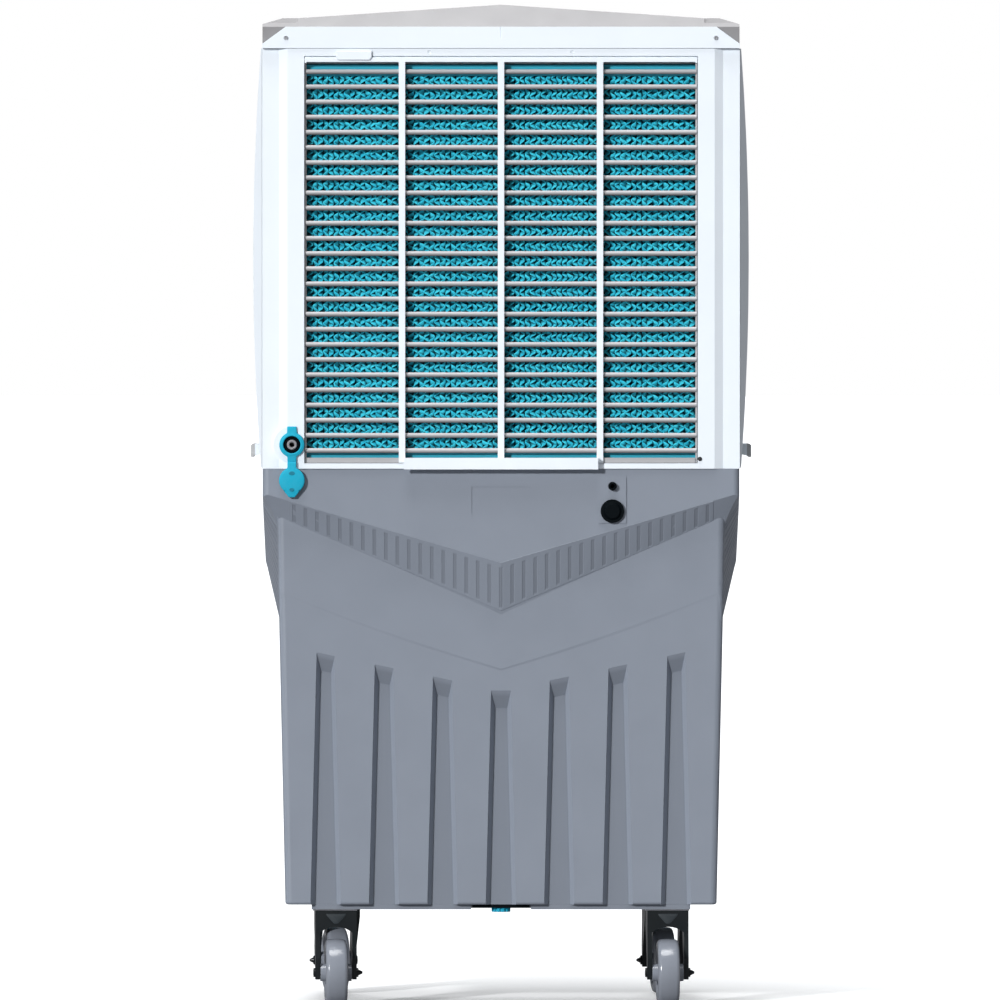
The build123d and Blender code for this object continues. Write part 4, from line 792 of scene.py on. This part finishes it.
def make_dials():
    """Tick marks round each knob and a pointer line on its grip, at the front."""
    ticks = Shape()
    for x in KNOB_XS:
        for k in range(11):
            angle = math.radians(-135 + 27 * k)
            length = 4.5 if k % 5 == 0 else 3.0
            across = Vector((math.cos(angle), 0, -math.sin(angle)))
            along = Vector((math.sin(angle), 0, math.cos(angle)))
            middle = Vector((x, 0, KNOB_Z))
            rows = []
            for y, d in ((241.0, 0.0), (241.25, 0.0), (241.35, 0.15)):
                row = []
                for a, b in ((-0.5, TICK_R), (0.5, TICK_R), (0.5, TICK_R + length), (-0.5, TICK_R + length)):
                    point = middle + across * a * (1 - d) + along * b
                    row.append(Vector((point.x, y, point.z)) * MM)
                rows.append(row)
            at = ticks.grid(rows, closed_columns=True)
            ticks.cap(at + 8, 4)
    obj = mesh_piece(
        "dial_ticks", ticks.vertices, ticks.faces, "dark_plastic", None, MATERIALS["print_white"])
    turned(obj, 180)
    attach(obj, "cooler")
    for x, node in zip(KNOB_XS, ("speed_knob", "cooling_knob", "swing_knob")):
        line = Shape()
        box_points(line, (-x - 0.9, 251.7, KNOB_Z + 2), (-x + 0.9, 252.3, KNOB_Z + 15.5), 0.3)
        obj = mesh_piece(
            f"{node}_pointer", line.vertices, line.faces, "knob_plastic", None, MATERIALS["print_dark"])
        turned(obj, 180)
        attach(obj, node)


def make_level_scale():
    """Raised scale beside the level window at the front, longer marks at every fourth step."""
    marks = Shape()
    for k in range(17):
        z = 212 + 12.8 * k
        y = LOWER_HALF + LOWER_DRAFT * (z - LOWER_Z) - DEPTH_LESS
        length = 8.0 if k % 4 == 0 else 4.5
        box_points(marks, (14.5, y - 0.3, z - 0.7), (14.5 + length, y + 0.5, z + 0.7), 0.2)
        box_points(marks, (-14.5 - length, y - 0.3, z - 0.7), (-14.5, y + 0.5, z + 0.7), 0.2)
    obj = mesh_piece(
        "level_scale", marks.vertices, marks.faces, "tank_plastic", None, MATERIALS["print_white"])
    turned(obj, 180)
    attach(obj, "cooler")


def make_latch():
    """Low tab on the rear frame that laps the grille's top edge, with its lower corners rounded."""
    half, radius = LATCH_HALF, LATCH_RADIUS
    outline = [(half, LATCH_HIGH), (-half, LATCH_HIGH)]
    for centre, start in ((-half + radius, 180), (half - radius, 270)):
        for k in range(7):
            angle = math.radians(start + 15 * k)
            outline.append((centre + radius * math.cos(angle), LATCH_LOW + radius + radius * math.sin(angle)))
    middle = (LATCH_HIGH + LATCH_LOW) / 2
    shape = Shape()
    rows = []
    for inset, y in ((0.0, LATCH_Y), (0.0, LATCH_Y + 1.6), (0.7, LATCH_Y + 2.2)):
        rows.append([
            Vector((LATCH_X + u * (1 - inset / half), y, middle + (z - middle) * (1 - inset / 7))) * MM
            for u, z in outline
        ])
    at = shape.grid(rows, closed_columns=True)
    shape.cap(at, len(outline), True)
    shape.cap(at + 2 * len(outline), len(outline))
    foot_low = (LATCH_X - 22, 237.8, 1335.0)
    box_points(shape, foot_low, (LATCH_X + 22, LATCH_Y + 0.4, LATCH_HIGH - 0.5), 0.0)
    mesh_piece("grille_latch", shape.vertices, shape.faces, "white_plastic", "cooler")


def make_small_parts():
    """Turn-button by the rear grille's lower corner, and pressed ridges on the caster hoods, painted lighter
    as a highlight.
    """
    button = Shape()
    at = Vector((-278.4, 0, 770.2)) * MM
    profile = ((0.3, 240.1), (1.8, 240.3), (2.9, 239.5), (3.1, 237.9))
    button.lathe([(r * MM, y * MM) for r, y in profile], at, (0, 1, 0), 24)
    mesh_piece("grille_button", button.vertices, button.faces, "dark_plastic", "cooler", smooth=True)
    for name, (side_x, side_y, angle) in CASTERS.items():
        ridge = Shape()
        rows = []
        for grow, y in ((1.0, 33.6), (1.0, 34.4), (0.55, 35.6)):
            rows.append([
                Vector((grow * x, y, RIDGE_Z + grow * (z - RIDGE_Z))) * MM for x, z in RIDGE_OUTLINE
            ])
        start = ridge.grid(rows, closed_columns=True)
        ridge.cap(start + 2 * len(RIDGE_OUTLINE), len(RIDGE_OUTLINE))
        # painted highlight on the ridge
        obj = mesh_piece(f"{name}_hood_ridge", ridge.vertices, ridge.faces, "fork_plastic", None,
                         MATERIALS["hood_painted_highlight"])
        place = Matrix.Translation(Vector((side_x * CASTER_X, side_y * CASTER_Y, 0)) * MM)
        obj.data.transform(place @ Matrix.Rotation(math.radians(angle), 4, "Z"))
        soften(obj, 0.35 * MM)
        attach(obj, f"{name}_fork")


# ---------------------------------------------------------------- the stage
FLOOR_HALF = 400.0
FLOOR_BOUNCE = (0.24, 0.24, 0.25)
FLOOR_GLOW = (0.05, 0.24)
SKY = 0.15


def stage():
    """A pale floor that meets a white backdrop, both brighter to the camera than the light they give."""
    mesh = bpy.data.meshes.new("floor")
    corners = [(x * FLOOR_HALF, y * FLOOR_HALF, 0) for x, y in ((-1, -1), (1, -1), (1, 1), (-1, 1))]
    mesh.from_pydata(corners, [], [(0, 1, 2, 3)])
    floor = bpy.data.objects.new("floor", mesh)
    bpy.context.scene.collection.objects.link(floor)
    mat, tree, shader = shader_tree("pale_floor")
    tone = between(tree, noise(tree, 3.0, 3.0), 0.0, 1.0)
    pale = blend_colours(tree, tone, (0.86, 0.87, 0.88), (0.89, 0.90, 0.91))
    path = tree.nodes.new("ShaderNodeLightPath")
    seen = path.outputs["Is Camera Ray"]
    tree.links.new(blend_colours(tree, seen, FLOOR_BOUNCE, pale), shader.inputs["Base Color"])
    shader.inputs["Roughness"].default_value = 0.8
    shader.inputs["Specular IOR Level"].default_value = 0.1
    shader.inputs["Emission Color"].default_value = (1, 1, 1, 1)
    tree.links.new(between(tree, seen, *FLOOR_GLOW, 0.0, 1.0), shader.inputs["Emission Strength"])
    mesh.materials.append(mat)

    world = bpy.data.worlds.new("studio")
    bpy.context.scene.world = world
    world.use_nodes = True
    tree = world.node_tree
    back = tree.nodes["Background"]
    back.inputs["Color"].default_value = (0.93, 0.97, 1.0, 1)
    back.inputs["Strength"].default_value = SKY
    white = tree.nodes.new("ShaderNodeBackground")
    white.inputs["Color"].default_value = (1, 1, 1, 1)
    white.inputs["Strength"].default_value = 1.0
    path = tree.nodes.new("ShaderNodeLightPath")
    mix = tree.nodes.new("ShaderNodeMixShader")
    tree.links.new(path.outputs["Is Camera Ray"], mix.inputs[0])
    tree.links.new(back.outputs[0], mix.inputs[1])
    tree.links.new(white.outputs[0], mix.inputs[2])
    tree.links.new(mix.outputs[0], tree.nodes["World Output"].inputs[0])


def sun(name, side, rise, strength, spread):
    """A far lamp: side is how far round from the rear (+Y) towards +X, rise how high, in degrees."""
    lamp = bpy.data.lights.new(name, "SUN")
    lamp.energy = strength
    lamp.angle = math.radians(spread)
    obj = bpy.data.objects.new(name, lamp)
    bpy.context.scene.collection.objects.link(obj)
    a, e = math.radians(side), math.radians(rise)
    away = Vector((math.sin(a) * math.cos(e), math.cos(a) * math.cos(e), math.sin(e)))
    obj.rotation_euler = away.to_track_quat("Z", "Y").to_euler()
    return obj


AIM_Z = 0.7126
LENS_Z = 0.908


def camera():
    """A long lens straight behind the cooler, a little above its middle."""
    view_width = 1.4
    distance = 16.7
    data = bpy.data.cameras.new("camera")
    data.sensor_width = 36.0
    data.lens = data.sensor_width * distance / view_width
    data.clip_start = 0.1
    data.clip_end = 300.0
    obj = bpy.data.objects.new("camera", data)
    bpy.context.scene.collection.objects.link(obj)
    rear_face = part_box("rear_frame")[1].y
    aim = Vector((0.0014, rear_face, AIM_Z))
    obj.location = (aim.x, rear_face + distance, LENS_Z)
    obj.rotation_euler = (obj.location - aim).to_track_quat("Z", "Y").to_euler()
    bpy.context.scene.camera = obj


finish_nodes()
make_pads()
make_bands()
make_inlet()
make_dials()
make_level_scale()
make_latch()
make_small_parts()
stage()
sun("key", 31, 17, 2.76, 4.0)
sun("overhead", 20, 78, 2.1, 30.0)
sun("front_fill", 172, 38, 1.5, 30.0).visible_glossy = False
camera()
bpy.context.scene.view_settings.view_transform = "Standard"
